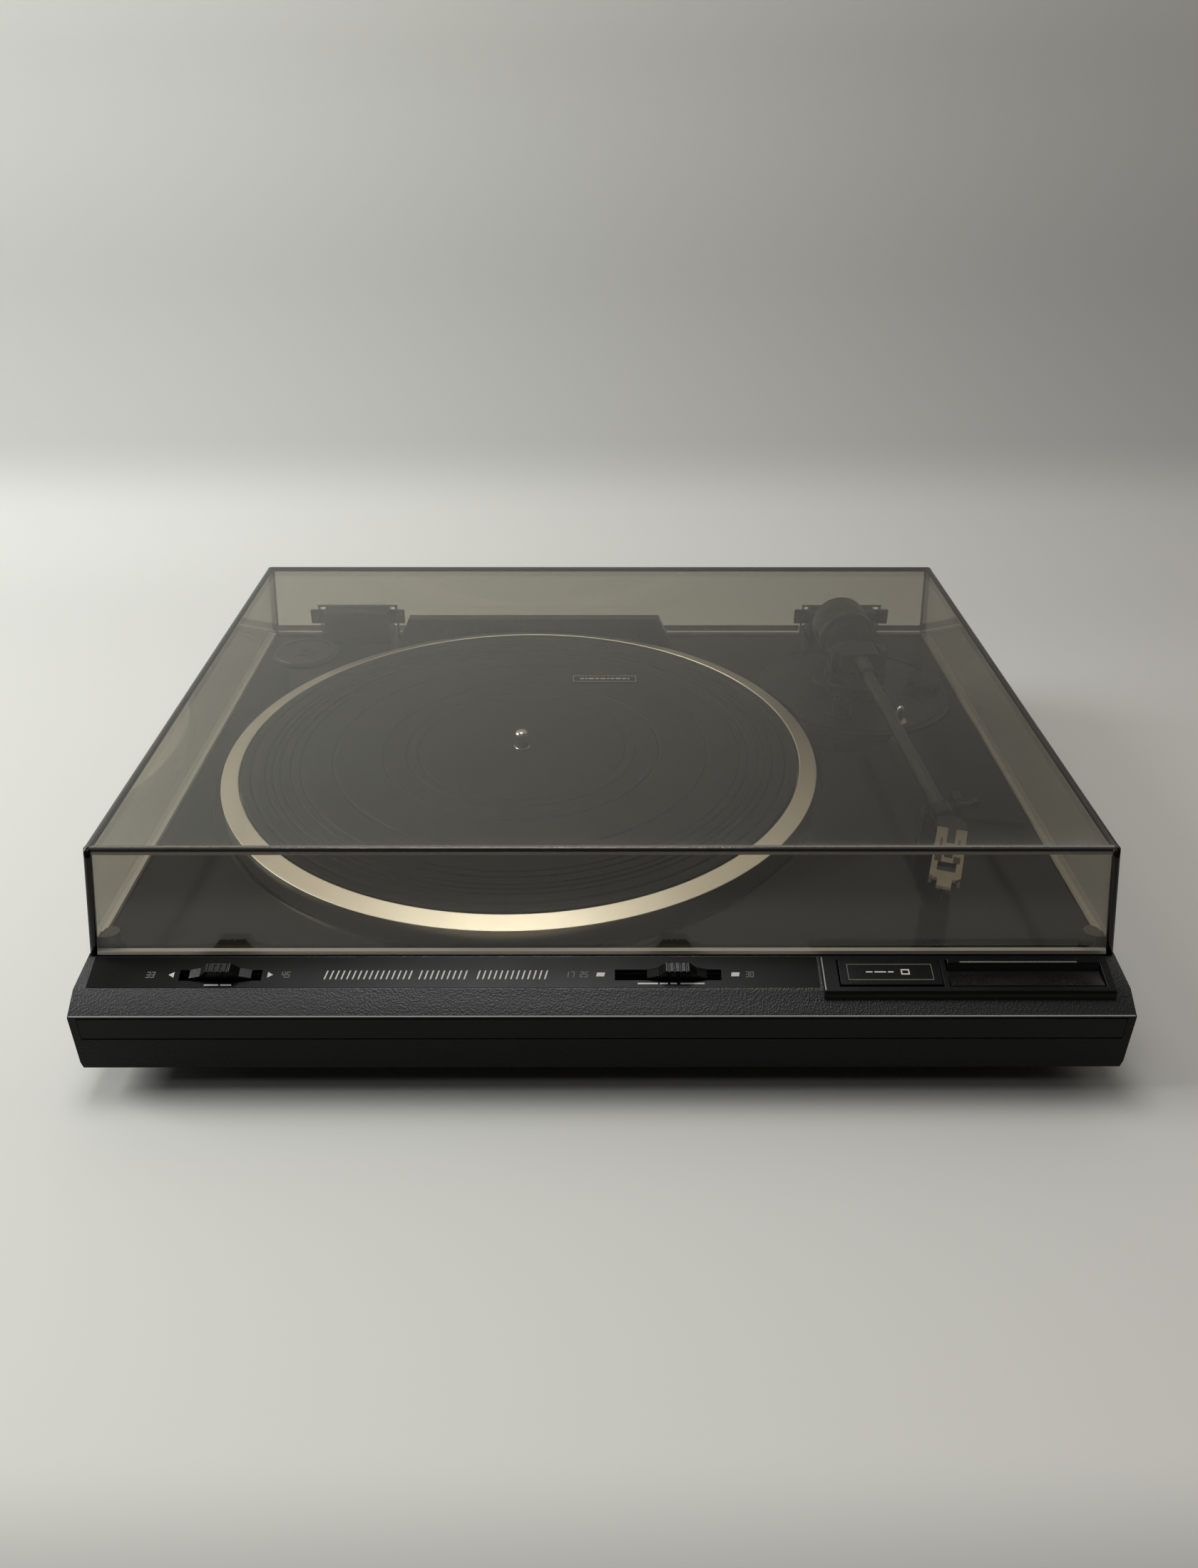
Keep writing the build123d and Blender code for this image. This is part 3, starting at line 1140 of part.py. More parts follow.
def make_arm_rest():
    """Post with a shelf under the tube and a lip on its outer side, which carries the clip's pin."""
    shelf = ARM_Z - TUBE_R - LIFT_CLEAR
    half = REST_D / 2
    body = block(REST_X0, REST_X1, REST_Y - half, REST_Y + half, DECK_Z, shelf)
    body += block(REST_X1 - REST_LIP_T, REST_X1, REST_Y - half, REST_Y + half, shelf, shelf + REST_LIP_H)
    body = chamfer(body.edges().filter_by(Axis.Y).group_by(Axis.Z)[-1], 1.0)
    x, z = clip_pin()
    return body - rod_y(x, REST_Y - half - 1, REST_Y + half + 1, z, CLIP_PIN_R + CLIP_FIT)


def clip_pin():
    """X and Z of the pin that the rest's clip turns on."""
    return REST_X1 - REST_LIP_T / 2, ARM_Z - TUBE_R - LIFT_CLEAR + REST_LIP_H - 2.6


def make_rest_clip():
    """Little hook on a pin through the rest's lip, folded outwards when the arm is free."""
    x, z = clip_pin()
    half = REST_D / 2
    front = REST_Y - half - 2.4
    pin = rod_y(x, front, REST_Y + half + 0.6, z, CLIP_PIN_R)
    arm = block(x - CLIP_T / 2, x + CLIP_L, front, front + 2.0, z - CLIP_T / 2, z + CLIP_T / 2)
    tip = block(x + CLIP_L - CLIP_W, x + CLIP_L, front, front + CLIP_TIP_L, z - CLIP_T / 2, z + CLIP_T)
    return pin + arm + tip


def make_arm_stop():
    """Small bright post on the arm's base plate, outside the tube."""
    post = disc(STOP_X, STOP_Y, STOP_R, ARM_BASE_TOP_Z, STOP_TOP_Z - STOP_R)
    post += Pos(STOP_X, STOP_Y, STOP_TOP_Z - STOP_R) * Sphere(STOP_R)
    return post + disc(STOP_X, STOP_Y, STOP_R + 2.2, ARM_BASE_TOP_Z, ARM_BASE_TOP_Z + 1.0)


def make_skate_knob():
    base = ARM_BASE_TOP_Z + SKATE_GAP
    body = disc(SKATE_X, SKATE_Y, SKATE_R, base, base + SKATE_H)
    body = chamfer(body.edges().group_by(Axis.Z)[-1], 0.8)
    body -= block(SKATE_X - 0.5, SKATE_X + 0.5, SKATE_Y - SKATE_R - 1, SKATE_Y - SKATE_R + 4.4,
                  base + SKATE_H - 0.6, base + SKATE_H + 1)
    return body + disc(SKATE_X, SKATE_Y, SKATE_STEM_R, DECK_Z - DECK_T - 4, base)


def make_adaptor():
    floor = DECK_Z - ADAPTOR_WELL_D
    body = disc(ADAPTOR_X, ADAPTOR_Y, ADAPTOR_R, floor, floor + ADAPTOR_T)
    body = chamfer(body.edges().group_by(Axis.Z)[-1], 0.8)
    body -= disc(ADAPTOR_X, ADAPTOR_Y, ADAPTOR_R - ADAPTOR_RIM_W, floor + ADAPTOR_T - ADAPTOR_RIM_H,
                 floor + ADAPTOR_T + 1)
    body += disc(ADAPTOR_X, ADAPTOR_Y, ADAPTOR_BORE_R + 2.4, floor, floor + ADAPTOR_T)
    return body - disc(ADAPTOR_X, ADAPTOR_Y, ADAPTOR_BORE_R, 0, DECK_Z + ADAPTOR_T)


def hump_solid(inset):
    """The raised rear cover's outside, or its hollow when inset."""
    side = side_profile([
        (HUMP_FRONT_Y + inset, DECK_Z), (HUMP_FRONT_Y + HUMP_FRONT_LEAN + inset, HUMP_TOP_Z - inset),
        (HUMP_REAR_Y - inset, HUMP_TOP_Z - inset), (HUMP_REAR_Y - inset, DECK_Z),
    ], HUMP_X0, HUMP_X1)
    front = front_profile([
        (HUMP_X0 + inset, DECK_Z), (HUMP_X0 + HUMP_END_LEAN + inset, HUMP_TOP_Z),
        (HUMP_X1 - HUMP_END_LEAN - inset, HUMP_TOP_Z), (HUMP_X1 - inset, DECK_Z),
    ], HUMP_FRONT_Y, HUMP_REAR_Y)
    return side & front


def make_rear_cover():
    """Hollow cover whose front is cut back for the platter's well, and for the edge of a record above it."""
    outer = hump_solid(0)
    outer -= disc(SPINDLE_X, SPINDLE_Y, WELL_R, 0, HUMP_UNDERCUT_Z)
    outer -= disc(SPINDLE_X, SPINDLE_Y, RECORD_R, 0, HUMP_LIP_Z)
    inner = hump_solid(HUMP_WALL) - disc(SPINDLE_X, SPINDLE_Y, WELL_R + HUMP_WALL, 0, HUMP_TOP_Z)
    return outer - inner


def lid_block(inset, z0):
    """The lid's drafted outside, or its inside when inset by the wall, from z0 to the top."""
    bottom = Plane.XY.offset(z0)
    top_z = LID_TOP_Z - inset
    share = (top_z - LID_Z0) / (LID_TOP_Z - LID_Z0)
    low_share = (z0 - LID_Z0) / (LID_TOP_Z - LID_Z0)
    faces = []
    for z, s in ((z0, low_share), (top_z, share)):
        half = LID_W / 2 - LID_SIDE_DRAFT * s - inset
        y0 = LID_FRONT_Y + LID_FRONT_DRAFT * s + inset
        y1 = LID_REAR_Y - LID_REAR_DRAFT * s - inset
        faces.append(Plane.XY.offset(z) * Polygon((-half, y0), (half, y0), (half, y1), (-half, y1), align=None))
    return loft(faces)


def make_lid():
    outer = lid_block(0, LID_Z0)
    rims = outer.edges() - outer.edges().group_by(Axis.Z)[0]
    lid = fillet(rims, LID_EDGE_R) - lid_block(LID_WALL, LID_Z0 - 1)
    for side in (-1, 1):
        x = side * HINGE_X
        lid -= block(x - NOTCH_HALF, x + NOTCH_HALF, LID_REAR_Y - LID_REAR_CUT, LID_REAR_Y + 1, LID_Z0 - 2, NOTCH_TOP_Z)
        for screw_x, y in wing_screws(x):
            lid -= rod_y(screw_x, LID_REAR_Y - LID_REAR_CUT, LID_REAR_Y + 2, WING_Z + WING_H / 2, LEAF_SCREW_R + FOOT_GAP)
    return lid


def wing_screws(x):
    """Places of the two screws that hold a hinge leaf to the lid's rear wall."""
    reach = NOTCH_HALF + WING_OVERLAP / 2
    return [(x - reach, LID_REAR_Y), (x + reach, LID_REAR_Y)]


def wing_face():
    """Y of the wing's rear face, just inside the lid's rear wall at the wing's top."""
    return lid_rear(WING_Z + WING_H) - LID_WALL - WING_GAP


def make_hinge_leaf(side):
    x = side * HINGE_X
    top = NOTCH_TOP_Z - LEAF_TOP_GAP
    body = block(x - LEAF_HALF, x + LEAF_HALF, LEAF_FRONT_Y, LEAF_REAR_Y, LEAF_Z0, top)
    body = chamfer(body.edges().filter_by(Axis.X).group_by(Axis.Z)[-1], 1.0)
    wing = wing_face()
    reach = NOTCH_HALF + WING_OVERLAP
    body += block(x - reach, x + reach, wing - WING_T, wing, WING_Z, WING_Z + WING_H)
    body += block(x - BARREL_HALF, x + BARREL_HALF, LEAF_REAR_Y - 1, HINGE_Y, HINGE_Z - BARREL_R + 0.3,
                  HINGE_Z + BARREL_R - 0.3)
    body += rod_x(x - BARREL_HALF, x + BARREL_HALF, HINGE_Y, HINGE_Z, BARREL_R)
    body -= rod_x(x - BARREL_HALF - 1, x + BARREL_HALF + 1, HINGE_Y, HINGE_Z, PIN_R + PIN_FIT)
    for screw_x, y in wing_screws(x):
        body -= rod_y(screw_x, wing - WING_T - 1, wing + 1, WING_Z + WING_H / 2, LEAF_SCREW_R + FOOT_GAP)
    return body


def make_leaf_screws():
    screws = []
    for side in (-1, 1):
        for x, y in wing_screws(side * HINGE_X):
            z = WING_Z + WING_H / 2
            seat = wing_face() - WING_T
            head = rod_y(x, seat - LEAF_SCREW_HEAD_H, seat, z, LEAF_SCREW_HEAD_R)
            screws.append(head + rod_y(x, seat, lid_rear(z) - 0.3, z, LEAF_SCREW_R))
    return Compound(children=screws)


def make_hinge_base(side):
    x = side * HINGE_X
    reach = BARREL_HALF + EAR_GAP + EAR_T
    body = block(x - reach, x + reach, HINGE_PLATE_Y0, HINGE_PLATE_Y1, DECK_Z, DECK_Z + HINGE_PLATE_T)
    for end in (-1, 1):
        x0, x1 = sorted((x + end * (BARREL_HALF + EAR_GAP), x + end * reach))
        body += rod_x(x0, x1, HINGE_Y, HINGE_Z, EAR_R)
        body += block(x0, x1, HINGE_Y - EAR_R, HINGE_Y + EAR_R, DECK_Z, HINGE_Z)
    return body - rod_x(x - reach - 1, x + reach + 1, HINGE_Y, HINGE_Z, PIN_R)


def make_hinge_pins():
    pins = []
    reach = BARREL_HALF + EAR_GAP + EAR_T
    for side in (-1, 1):
        pins.append(rod_x(side * HINGE_X - reach, side * HINGE_X + reach, HINGE_Y, HINGE_Z, PIN_R))
    return Compound(children=pins)


def make_bumpers():
    """Soft stops in the lid's two front lower corners, shaped to its inner walls."""
    stops = []
    room = lid_block(LID_WALL, LID_Z0 + BUMPER_LIFT)
    for side in (-1, 1):
        x = side * (LID_W / 2 - LID_WALL - 2 * BUMPER_R + 2)
        y = LID_FRONT_Y + LID_WALL + 2 * BUMPER_R - 2
        top = LID_Z0 + BUMPER_LIFT + BUMPER_H
        x0, x1 = sorted((x, side * LID_W / 2))
        corner = disc(x, y, BUMPER_R, LID_Z0, top) + block(x0, x1, LID_FRONT_Y, y, LID_Z0, top)
        stops.append(corner & room)
    return Compound(children=stops)


def make_transformer():
    floor = BASE_Z + COVER_T
    half = TRANS_W / 2
    core = block(TRANS_X - half, TRANS_X + half, TRANS_Y - TRANS_D / 2, TRANS_Y + TRANS_D / 2, floor, floor + TRANS_H)
    middle = floor + TRANS_H / 2
    coil = block(TRANS_X - half * 0.6, TRANS_X + half * 0.6, TRANS_Y - TRANS_D / 2 - TRANS_COIL_GROW,
                 TRANS_Y + TRANS_D / 2 + TRANS_COIL_GROW, middle - TRANS_COIL_H / 2, middle + TRANS_COIL_H / 2)
    return core + fillet(coil.edges().filter_by(Axis.Z), 3)


def board_posts():
    inset = BOARD_POST_INSET
    return [(x, y) for x in (BOARD_X0 + inset, BOARD_X1 - inset) for y in (BOARD_Y0 + inset, BOARD_Y1 - inset)]


def make_board():
    floor = BASE_Z + COVER_T + BOARD_LIFT
    return block(BOARD_X0, BOARD_X1, BOARD_Y0, BOARD_Y1, floor, floor + BOARD_T)


def make_board_parts():
    """Capacitors and chips standing on the circuit board."""
    floor = BASE_Z + COVER_T + BOARD_LIFT + BOARD_T
    pieces = []
    middle = (BOARD_X0 + BOARD_X1) / 2
    for step in range(3):
        can = disc(BOARD_X0 + CAP_INSET + CAP_STEP * step, BOARD_Y0 + CAP_ROW_Y, CAP_R, floor, floor + CAP_H)
        pieces.append(fillet(can.edges().group_by(Axis.Z)[-1], 0.6))
    for step in range(2):
        y = BOARD_Y0 + CHIP_ROW_Y + CHIP_STEP * step
        pieces.append(block(middle - CHIP_L / 2, middle + CHIP_L / 2, y, y + CHIP_W, floor, floor + CHIP_H))
    return pieces


def make_gland(x):
    """Grommet for a lead, in the rear recess."""
    face = PLINTH_D - REAR_RECESS_D
    body = rod_y(x, face - WALL - 3, face, GLAND_Z, GLAND_R)
    body += rod_y(x, face, face + GLAND_FLANGE_T, GLAND_Z, GLAND_FLANGE_R)
    body += rod_y(x, face, face + REAR_RECESS_D - 1.4, GLAND_Z, GLAND_R - 1)
    return body - rod_y(x, face - REAR_CUT, PLINTH_D + 1, GLAND_Z, GLAND_BORE_R)


def make_earth_post():
    face = PLINTH_D - REAR_RECESS_D
    post = rod_y(EARTH_X, face - WALL - 4, face + EARTH_L, GLAND_Z, EARTH_R)
    return post + rod_y(EARTH_X, face, face + EARTH_L - 2.5, GLAND_Z, EARTH_NUT_R)


write("plinth_shell", make_plinth())
write("bottom_cover", make_bottom_cover())
write("plinth_screws", Compound(children=make_cover_screws() + make_foot_screws() + make_motor_screws()))
for foot_name, (foot_x, foot_y) in foot_places().items():
    write(foot_name, make_foot(foot_x, foot_y))
write("foot_pads", make_foot_pads())
write("front_strip", make_front_strip())
write("control_panel", make_panel())
write("key_housing", make_key_housing())
write("stop_key", make_stop_key())
write("lift_key", make_lift_key())
write("speed_slider", make_slider(SPEED_KNOB_X, SPEED_KNOB_L))
write("size_slider", make_slider(SIZE_KNOB_X, SIZE_KNOB_L))
write("platter", make_platter())
write("platter_mat", make_mat())
write("mat_plaque", make_plaque())
write("spindle", make_spindle())
write("hub_pinion", make_hub_pinion())
write("spindle_bearing", make_bearing())
write("thrust_pad", make_thrust_pad())
write("cam_gear", make_cam_gear())
write("cam_post", make_cam_post())
write("motor", make_motor())
write("motor_bracket", make_motor_bracket())
write("motor_shaft", make_motor_shaft())
write("motor_pulley", make_pulley())
write("drive_belt", make_belt())
write("arm_base", make_arm_base())
write("arm_pillar", make_arm_pillar())
write("arm_yoke", make_arm_yoke())
write("gimbal_block", make_gimbal())
write("arm_tube", make_arm_tube())
write("arm_stub", make_arm_stub())
write("head_collar", make_head_collar())
write("headshell", make_headshell())
write("cartridge", make_cartridge())
write("stylus", make_stylus())
write("counterweight", make_counterweight())
write("force_dial", make_force_dial())
write("lifter_bar", make_lifter_bar())
write("lifter_guide", make_lifter_guide())
write("arm_rest", make_arm_rest())
write("rest_clip", make_rest_clip())
write("arm_stop", make_arm_stop())
write("antiskate_knob", make_skate_knob())
write("adaptor_45", make_adaptor())
write("rear_cover", make_rear_cover())
write("lid", make_lid())
write("hinge_leaves", Compound(children=[make_hinge_leaf(-1), make_hinge_leaf(1)]))
write("hinge_bases", Compound(children=[make_hinge_base(-1), make_hinge_base(1)]))
write("leaf_screws", make_leaf_screws())
write("hinge_pins", make_hinge_pins())
write("lid_bumpers", make_bumpers())
write("transformer", make_transformer())
write("circuit_board", make_board())
write("board_parts", Compound(children=make_board_parts() + make_slide_switches()))
write("cable_glands", Compound(children=[make_gland(MAINS_GLAND_X), make_gland(SIGNAL_GLAND_X)]))
write("earth_post", make_earth_post())
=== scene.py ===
import bmesh
import bpy
import json
import math
import numpy as np
from mathutils import Matrix, Vector
from mathutils.bvhtree import BVHTree

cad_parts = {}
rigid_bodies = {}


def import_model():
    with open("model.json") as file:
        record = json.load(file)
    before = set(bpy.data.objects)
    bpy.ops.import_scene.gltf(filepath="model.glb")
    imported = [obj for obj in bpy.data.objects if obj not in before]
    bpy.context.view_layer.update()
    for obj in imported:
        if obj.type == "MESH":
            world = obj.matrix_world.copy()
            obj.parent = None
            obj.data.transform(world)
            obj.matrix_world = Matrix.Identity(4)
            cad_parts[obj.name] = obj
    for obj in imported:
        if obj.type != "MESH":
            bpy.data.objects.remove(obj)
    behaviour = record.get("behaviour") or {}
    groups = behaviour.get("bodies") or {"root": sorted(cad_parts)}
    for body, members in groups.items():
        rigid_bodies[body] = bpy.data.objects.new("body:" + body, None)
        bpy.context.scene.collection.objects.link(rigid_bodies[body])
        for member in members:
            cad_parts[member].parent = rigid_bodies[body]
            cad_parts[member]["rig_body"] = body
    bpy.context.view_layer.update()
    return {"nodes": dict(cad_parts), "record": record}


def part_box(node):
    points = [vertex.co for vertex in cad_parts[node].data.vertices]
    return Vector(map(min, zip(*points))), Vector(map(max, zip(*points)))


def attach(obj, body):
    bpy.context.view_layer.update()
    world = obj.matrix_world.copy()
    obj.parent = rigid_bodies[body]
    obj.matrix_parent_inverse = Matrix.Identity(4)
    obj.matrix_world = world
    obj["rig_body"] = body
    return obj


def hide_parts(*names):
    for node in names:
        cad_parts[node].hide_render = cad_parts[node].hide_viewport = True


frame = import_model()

# A belt-drive turntable under a smoked dust cover, on a pale paper sweep.
# Lengths are millimetres: X to the right, y back from the plinth's front edge, Z up from the floor.

MM = 0.001
NODES = frame["nodes"]
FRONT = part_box("plinth_shell")[0].y / MM      # row Y of the plinth's front edge
DECK_Z = 51.2
SPINDLE = (-40.5, 180.8)
PIVOT = (145.5, 259.0)
ARM_LEAN = math.radians(2.24)                 # the tube leans outwards on its rest

# Camera at the photograph's viewpoint
LENS = 27.035                                 # on 36 mm along the image's long side
CAMERA_AT = (-0.00313, -0.52827, 0.35674)
PITCH = 0.54209
YAW = 0.00427
ROLL = 0.00186


def place(x, y, z):
    """Metres in the row frame, from millimetres behind the plinth's front edge. Takes arrays too."""
    return np.stack(np.broadcast_arrays(x, np.add(y, FRONT), z), axis=-1) * MM


def make_camera():
    """Looks along forward; side and top are its right and up after the roll."""
    forward = Vector((math.sin(YAW) * math.cos(PITCH), math.cos(YAW) * math.cos(PITCH), -math.sin(PITCH)))
    right = Vector((math.cos(YAW), -math.sin(YAW), 0))
    up = right.cross(forward)
    side = math.cos(ROLL) * right + math.sin(ROLL) * up
    top = math.cos(ROLL) * up - math.sin(ROLL) * right
    data = bpy.data.cameras.new("camera")
    data.lens = LENS
    data.clip_start = 0.01
    camera = bpy.data.objects.new("camera", data)
    bpy.context.scene.collection.objects.link(camera)
    camera.matrix_world = Matrix.Translation(CAMERA_AT) @ Matrix((side, top, -forward)).transposed().to_4x4()
    bpy.context.scene.camera = camera


def colour(code):
    """Linear RGBA of an sRGB hex value."""
    parts = np.array([int(code[i:i + 2], 16) / 255 for i in (1, 3, 5)])
    linear = np.where(parts <= 0.04045, parts / 12.92, ((parts + 0.055) / 1.055) ** 2.4)
    return (*linear.tolist(), 1.0)


def add(tree, kind, links=None, values=None, **settings):
    """Add a node. links and values go to its sockets by name or number, settings to the node itself."""
    new = tree.nodes.new(kind)
    for name, value in settings.items():
        setattr(new, name, value)
    for socket, value in (values or {}).items():
        new.inputs[socket].default_value = value
    for socket, source in (links or {}).items():
        tree.links.new(source, new.inputs[socket])
    return new


def blank(name):
    """A material with an empty tree."""
    made = bpy.data.materials.new(name)
    made.use_nodes = True
    made.node_tree.nodes.clear()
    return made, made.node_tree


def finished(name, base, other, rough, grain_mm, depth_mm, drift_mm=45.0, **values):
    """A solid finish: colour drifts between base and other over drift_mm, and a grain of grain_mm
    stirs the roughness between its two values and raises the surface by depth_mm."""
    made, tree = blank(name)
    spot = add(tree, "ShaderNodeTexCoord").outputs["Object"]
    drift = add(tree, "ShaderNodeTexNoise", {"Vector": spot},
                {"Scale": 1000 / drift_mm, "Detail": 4.0}).outputs[0]
    grain = add(tree, "ShaderNodeTexNoise", {"Vector": spot},
                {"Scale": 1000 / grain_mm, "Detail": 3.0}).outputs[0]
    tone = add(tree, "ShaderNodeMix", {0: drift}, {6: colour(base), 7: colour(other)},
               data_type="RGBA").outputs[2]
    mixed = add(tree, "ShaderNodeMath", {0: drift, 1: grain}, operation="MULTIPLY").outputs[0]
    gloss = add(tree, "ShaderNodeMapRange", {"Value": mixed},
                {"From Min": 0.1, "From Max": 0.4, "To Min": rough[0], "To Max": rough[1]}).outputs[0]
    bump = add(tree, "ShaderNodeBump", {"Height": grain},
               {"Strength": 0.6, "Distance": depth_mm * MM}).outputs[0]
    shader = add(tree, "ShaderNodeBsdfPrincipled", {"Base Color": tone, "Roughness": gloss, "Normal": bump},
                 {key.replace("_", " "): value for key, value in values.items()})
    add(tree, "ShaderNodeOutputMaterial", {"Surface": shader.outputs[0]})
    return made


def moulded_abs():
    """Injection-moulded ABS: spark-eroded grain on the walls and front band, and a smoother deck that mirrors
    the light. Upright faces are painted darker as shade and faces that look up lighter as painted light, and
    upright faces shine less than those that look up."""
    made, tree = blank("moulded_abs")
    spot = add(tree, "ShaderNodeTexCoord").outputs["Object"]
    drift = add(tree, "ShaderNodeTexNoise", {"Vector": spot}, {"Scale": 1000 / 60, "Detail": 4.0}).outputs[0]
    grain = add(tree, "ShaderNodeTexVoronoi", {"Vector": spot}, {"Scale": 1000 / 0.8}).outputs["Distance"]
    height = add(tree, "ShaderNodeSeparateXYZ", {"Vector": spot}).outputs["Z"]
    deck = add(tree, "ShaderNodeMapRange", {"Value": height},
               {"From Min": (DECK_Z - 0.6) * MM, "From Max": (DECK_Z - 0.1) * MM}).outputs[0]
    facing = add(tree, "ShaderNodeNewGeometry").outputs["Normal"]
    upward = add(tree, "ShaderNodeSeparateXYZ", {"Vector": facing}).outputs["Z"]
    band = add(tree, "ShaderNodeMapRange", {"Value": upward}, {"From Min": 0.3, "From Max": 0.8}).outputs[0]
    # painted shade on upright faces and painted light on faces that look up, mixed by how far each face looks
    # up
    walls = add(tree, "ShaderNodeMix", {0: drift}, {6: colour("#08090b"), 7: colour("#0b0c0e")},
                data_type="RGBA").outputs[2]
    painted_lit_tone = add(tree, "ShaderNodeMix", {0: drift}, {6: colour("#121212"), 7: colour("#191918")},
              data_type="RGBA").outputs[2]
    low = add(tree, "ShaderNodeMix", {0: band, 6: walls, 7: painted_lit_tone}, data_type="RGBA").outputs[2]
    tone = add(tree, "ShaderNodeMix", {0: deck, 6: low}, {7: colour("#080907")}, data_type="RGBA").outputs[2]
    rough = add(tree, "ShaderNodeMapRange", {"Value": drift}, {"To Min": 0.36, "To Max": 0.5}).outputs[0]
    smooth = add(tree, "ShaderNodeMapRange", {"Value": drift}, {"To Min": 0.08, "To Max": 0.16}).outputs[0]
    gloss = add(tree, "ShaderNodeMix", {0: deck, 2: rough, 3: smooth}).outputs[0]
    level = add(tree, "ShaderNodeMapRange", {"Value": band}, {"To Min": 0.12, "To Max": 0.42}).outputs[0]
    shine = add(tree, "ShaderNodeMix", {0: deck, 2: level}, {3: 0.17}).outputs[0]
    depth = add(tree, "ShaderNodeMapRange", {"Value": deck}, {"To Min": 0.9, "To Max": 0.03}).outputs[0]
    bump = add(tree, "ShaderNodeBump", {"Height": grain, "Strength": depth},
               {"Distance": 0.12 * MM}).outputs[0]
    shader = add(tree, "ShaderNodeBsdfPrincipled",
                 {"Base Color": tone, "Roughness": gloss, "Normal": bump, "Specular IOR Level": shine},
                 {"IOR": 1.53})
    add(tree, "ShaderNodeOutputMaterial", {"Surface": shader.outputs[0]})
    return made


def turned_metal(name, base, other, rough, centre, pitch_mm, depth_mm, shine=0.6):
    """Metal turned on a lathe: rings of pitch_mm round the centre, and highlights drawn out across them."""
    made, tree = blank(name)
    spot = add(tree, "ShaderNodeTexCoord").outputs["Object"]
    middle = tuple(place(centre[0], centre[1], 0))
    arm = add(tree, "ShaderNodeVectorMath", {0: spot}, {1: middle}, operation="SUBTRACT").outputs[0]
    flat = add(tree, "ShaderNodeVectorMath", {0: arm}, {1: (1, 1, 0)}, operation="MULTIPLY").outputs[0]
    reach = add(tree, "ShaderNodeVectorMath", {0: flat}, operation="LENGTH").outputs["Value"]
    along = add(tree, "ShaderNodeVectorMath", {1: flat}, {0: (0, 0, 1)}, operation="CROSS_PRODUCT").outputs[0]
    tangent = add(tree, "ShaderNodeVectorTransform", {0: along}, vector_type="VECTOR",
                  convert_from="OBJECT", convert_to="WORLD").outputs[0]
    rings = add(tree, "ShaderNodeTexNoise", {"W": reach}, {"Scale": 1000 / pitch_mm, "Detail": 2.0},
                noise_dimensions="1D").outputs[0]
    drift = add(tree, "ShaderNodeTexNoise", {"Vector": spot}, {"Scale": 1000 / 30, "Detail": 3.0}).outputs[0]
    tone = add(tree, "ShaderNodeMix", {0: drift}, {6: colour(base), 7: colour(other)},
               data_type="RGBA").outputs[2]
    gloss = add(tree, "ShaderNodeMapRange", {"Value": rings},
                {"To Min": rough[0], "To Max": rough[1]}).outputs[0]
    bump = add(tree, "ShaderNodeBump", {"Height": rings},
               {"Strength": 0.4, "Distance": depth_mm * MM}).outputs[0]
    shader = add(tree, "ShaderNodeBsdfPrincipled",
                 {"Base Color": tone, "Roughness": gloss, "Normal": bump, "Tangent": tangent},
                 {"Metallic": 1.0, "Anisotropic": shine})
    add(tree, "ShaderNodeOutputMaterial", {"Surface": shader.outputs[0]})
    return made


def smoked_acrylic():
    """Smoked acrylic sheet: each face mirrors more towards grazing, tints what is behind it,
    and the sheet soaks up light along its length, so its edges look nearly black."""
    made, tree = blank("smoked_acrylic")
    spot = add(tree, "ShaderNodeTexCoord").outputs["Object"]
    facing = add(tree, "ShaderNodeLayerWeight", values={"Blend": 0.5}).outputs["Facing"]
    grazing = add(tree, "ShaderNodeMath", {0: facing}, {1: 4.2}, operation="POWER").outputs[0]
    mirror = add(tree, "ShaderNodeMapRange", {"Value": grazing}, {"To Min": 0.04, "To Max": 1.0}).outputs[0]
    haze = add(tree, "ShaderNodeTexNoise", {"Vector": spot}, {"Scale": 1000 / 25, "Detail": 5.0}).outputs[0]
    rough = add(tree, "ShaderNodeMapRange", {"Value": haze}, {"To Min": 0.02, "To Max": 0.09}).outputs[0]
    through = add(tree, "ShaderNodeBsdfTransparent", values={"Color": colour("#eeede9")}).outputs[0]
    gloss = add(tree, "ShaderNodeBsdfGlossy", {"Roughness": rough}, {"Color": colour("#ffffff")}).outputs[0]
    both = add(tree, "ShaderNodeMixShader", {0: mirror, 1: through, 2: gloss}).outputs[0]
    depth = add(tree, "ShaderNodeVolumeAbsorption", values={"Color": colour("#8c7c54"),
                                                            "Density": 40.0}).outputs[0]
    add(tree, "ShaderNodeOutputMaterial", {"Surface": both, "Volume": depth})
    return made


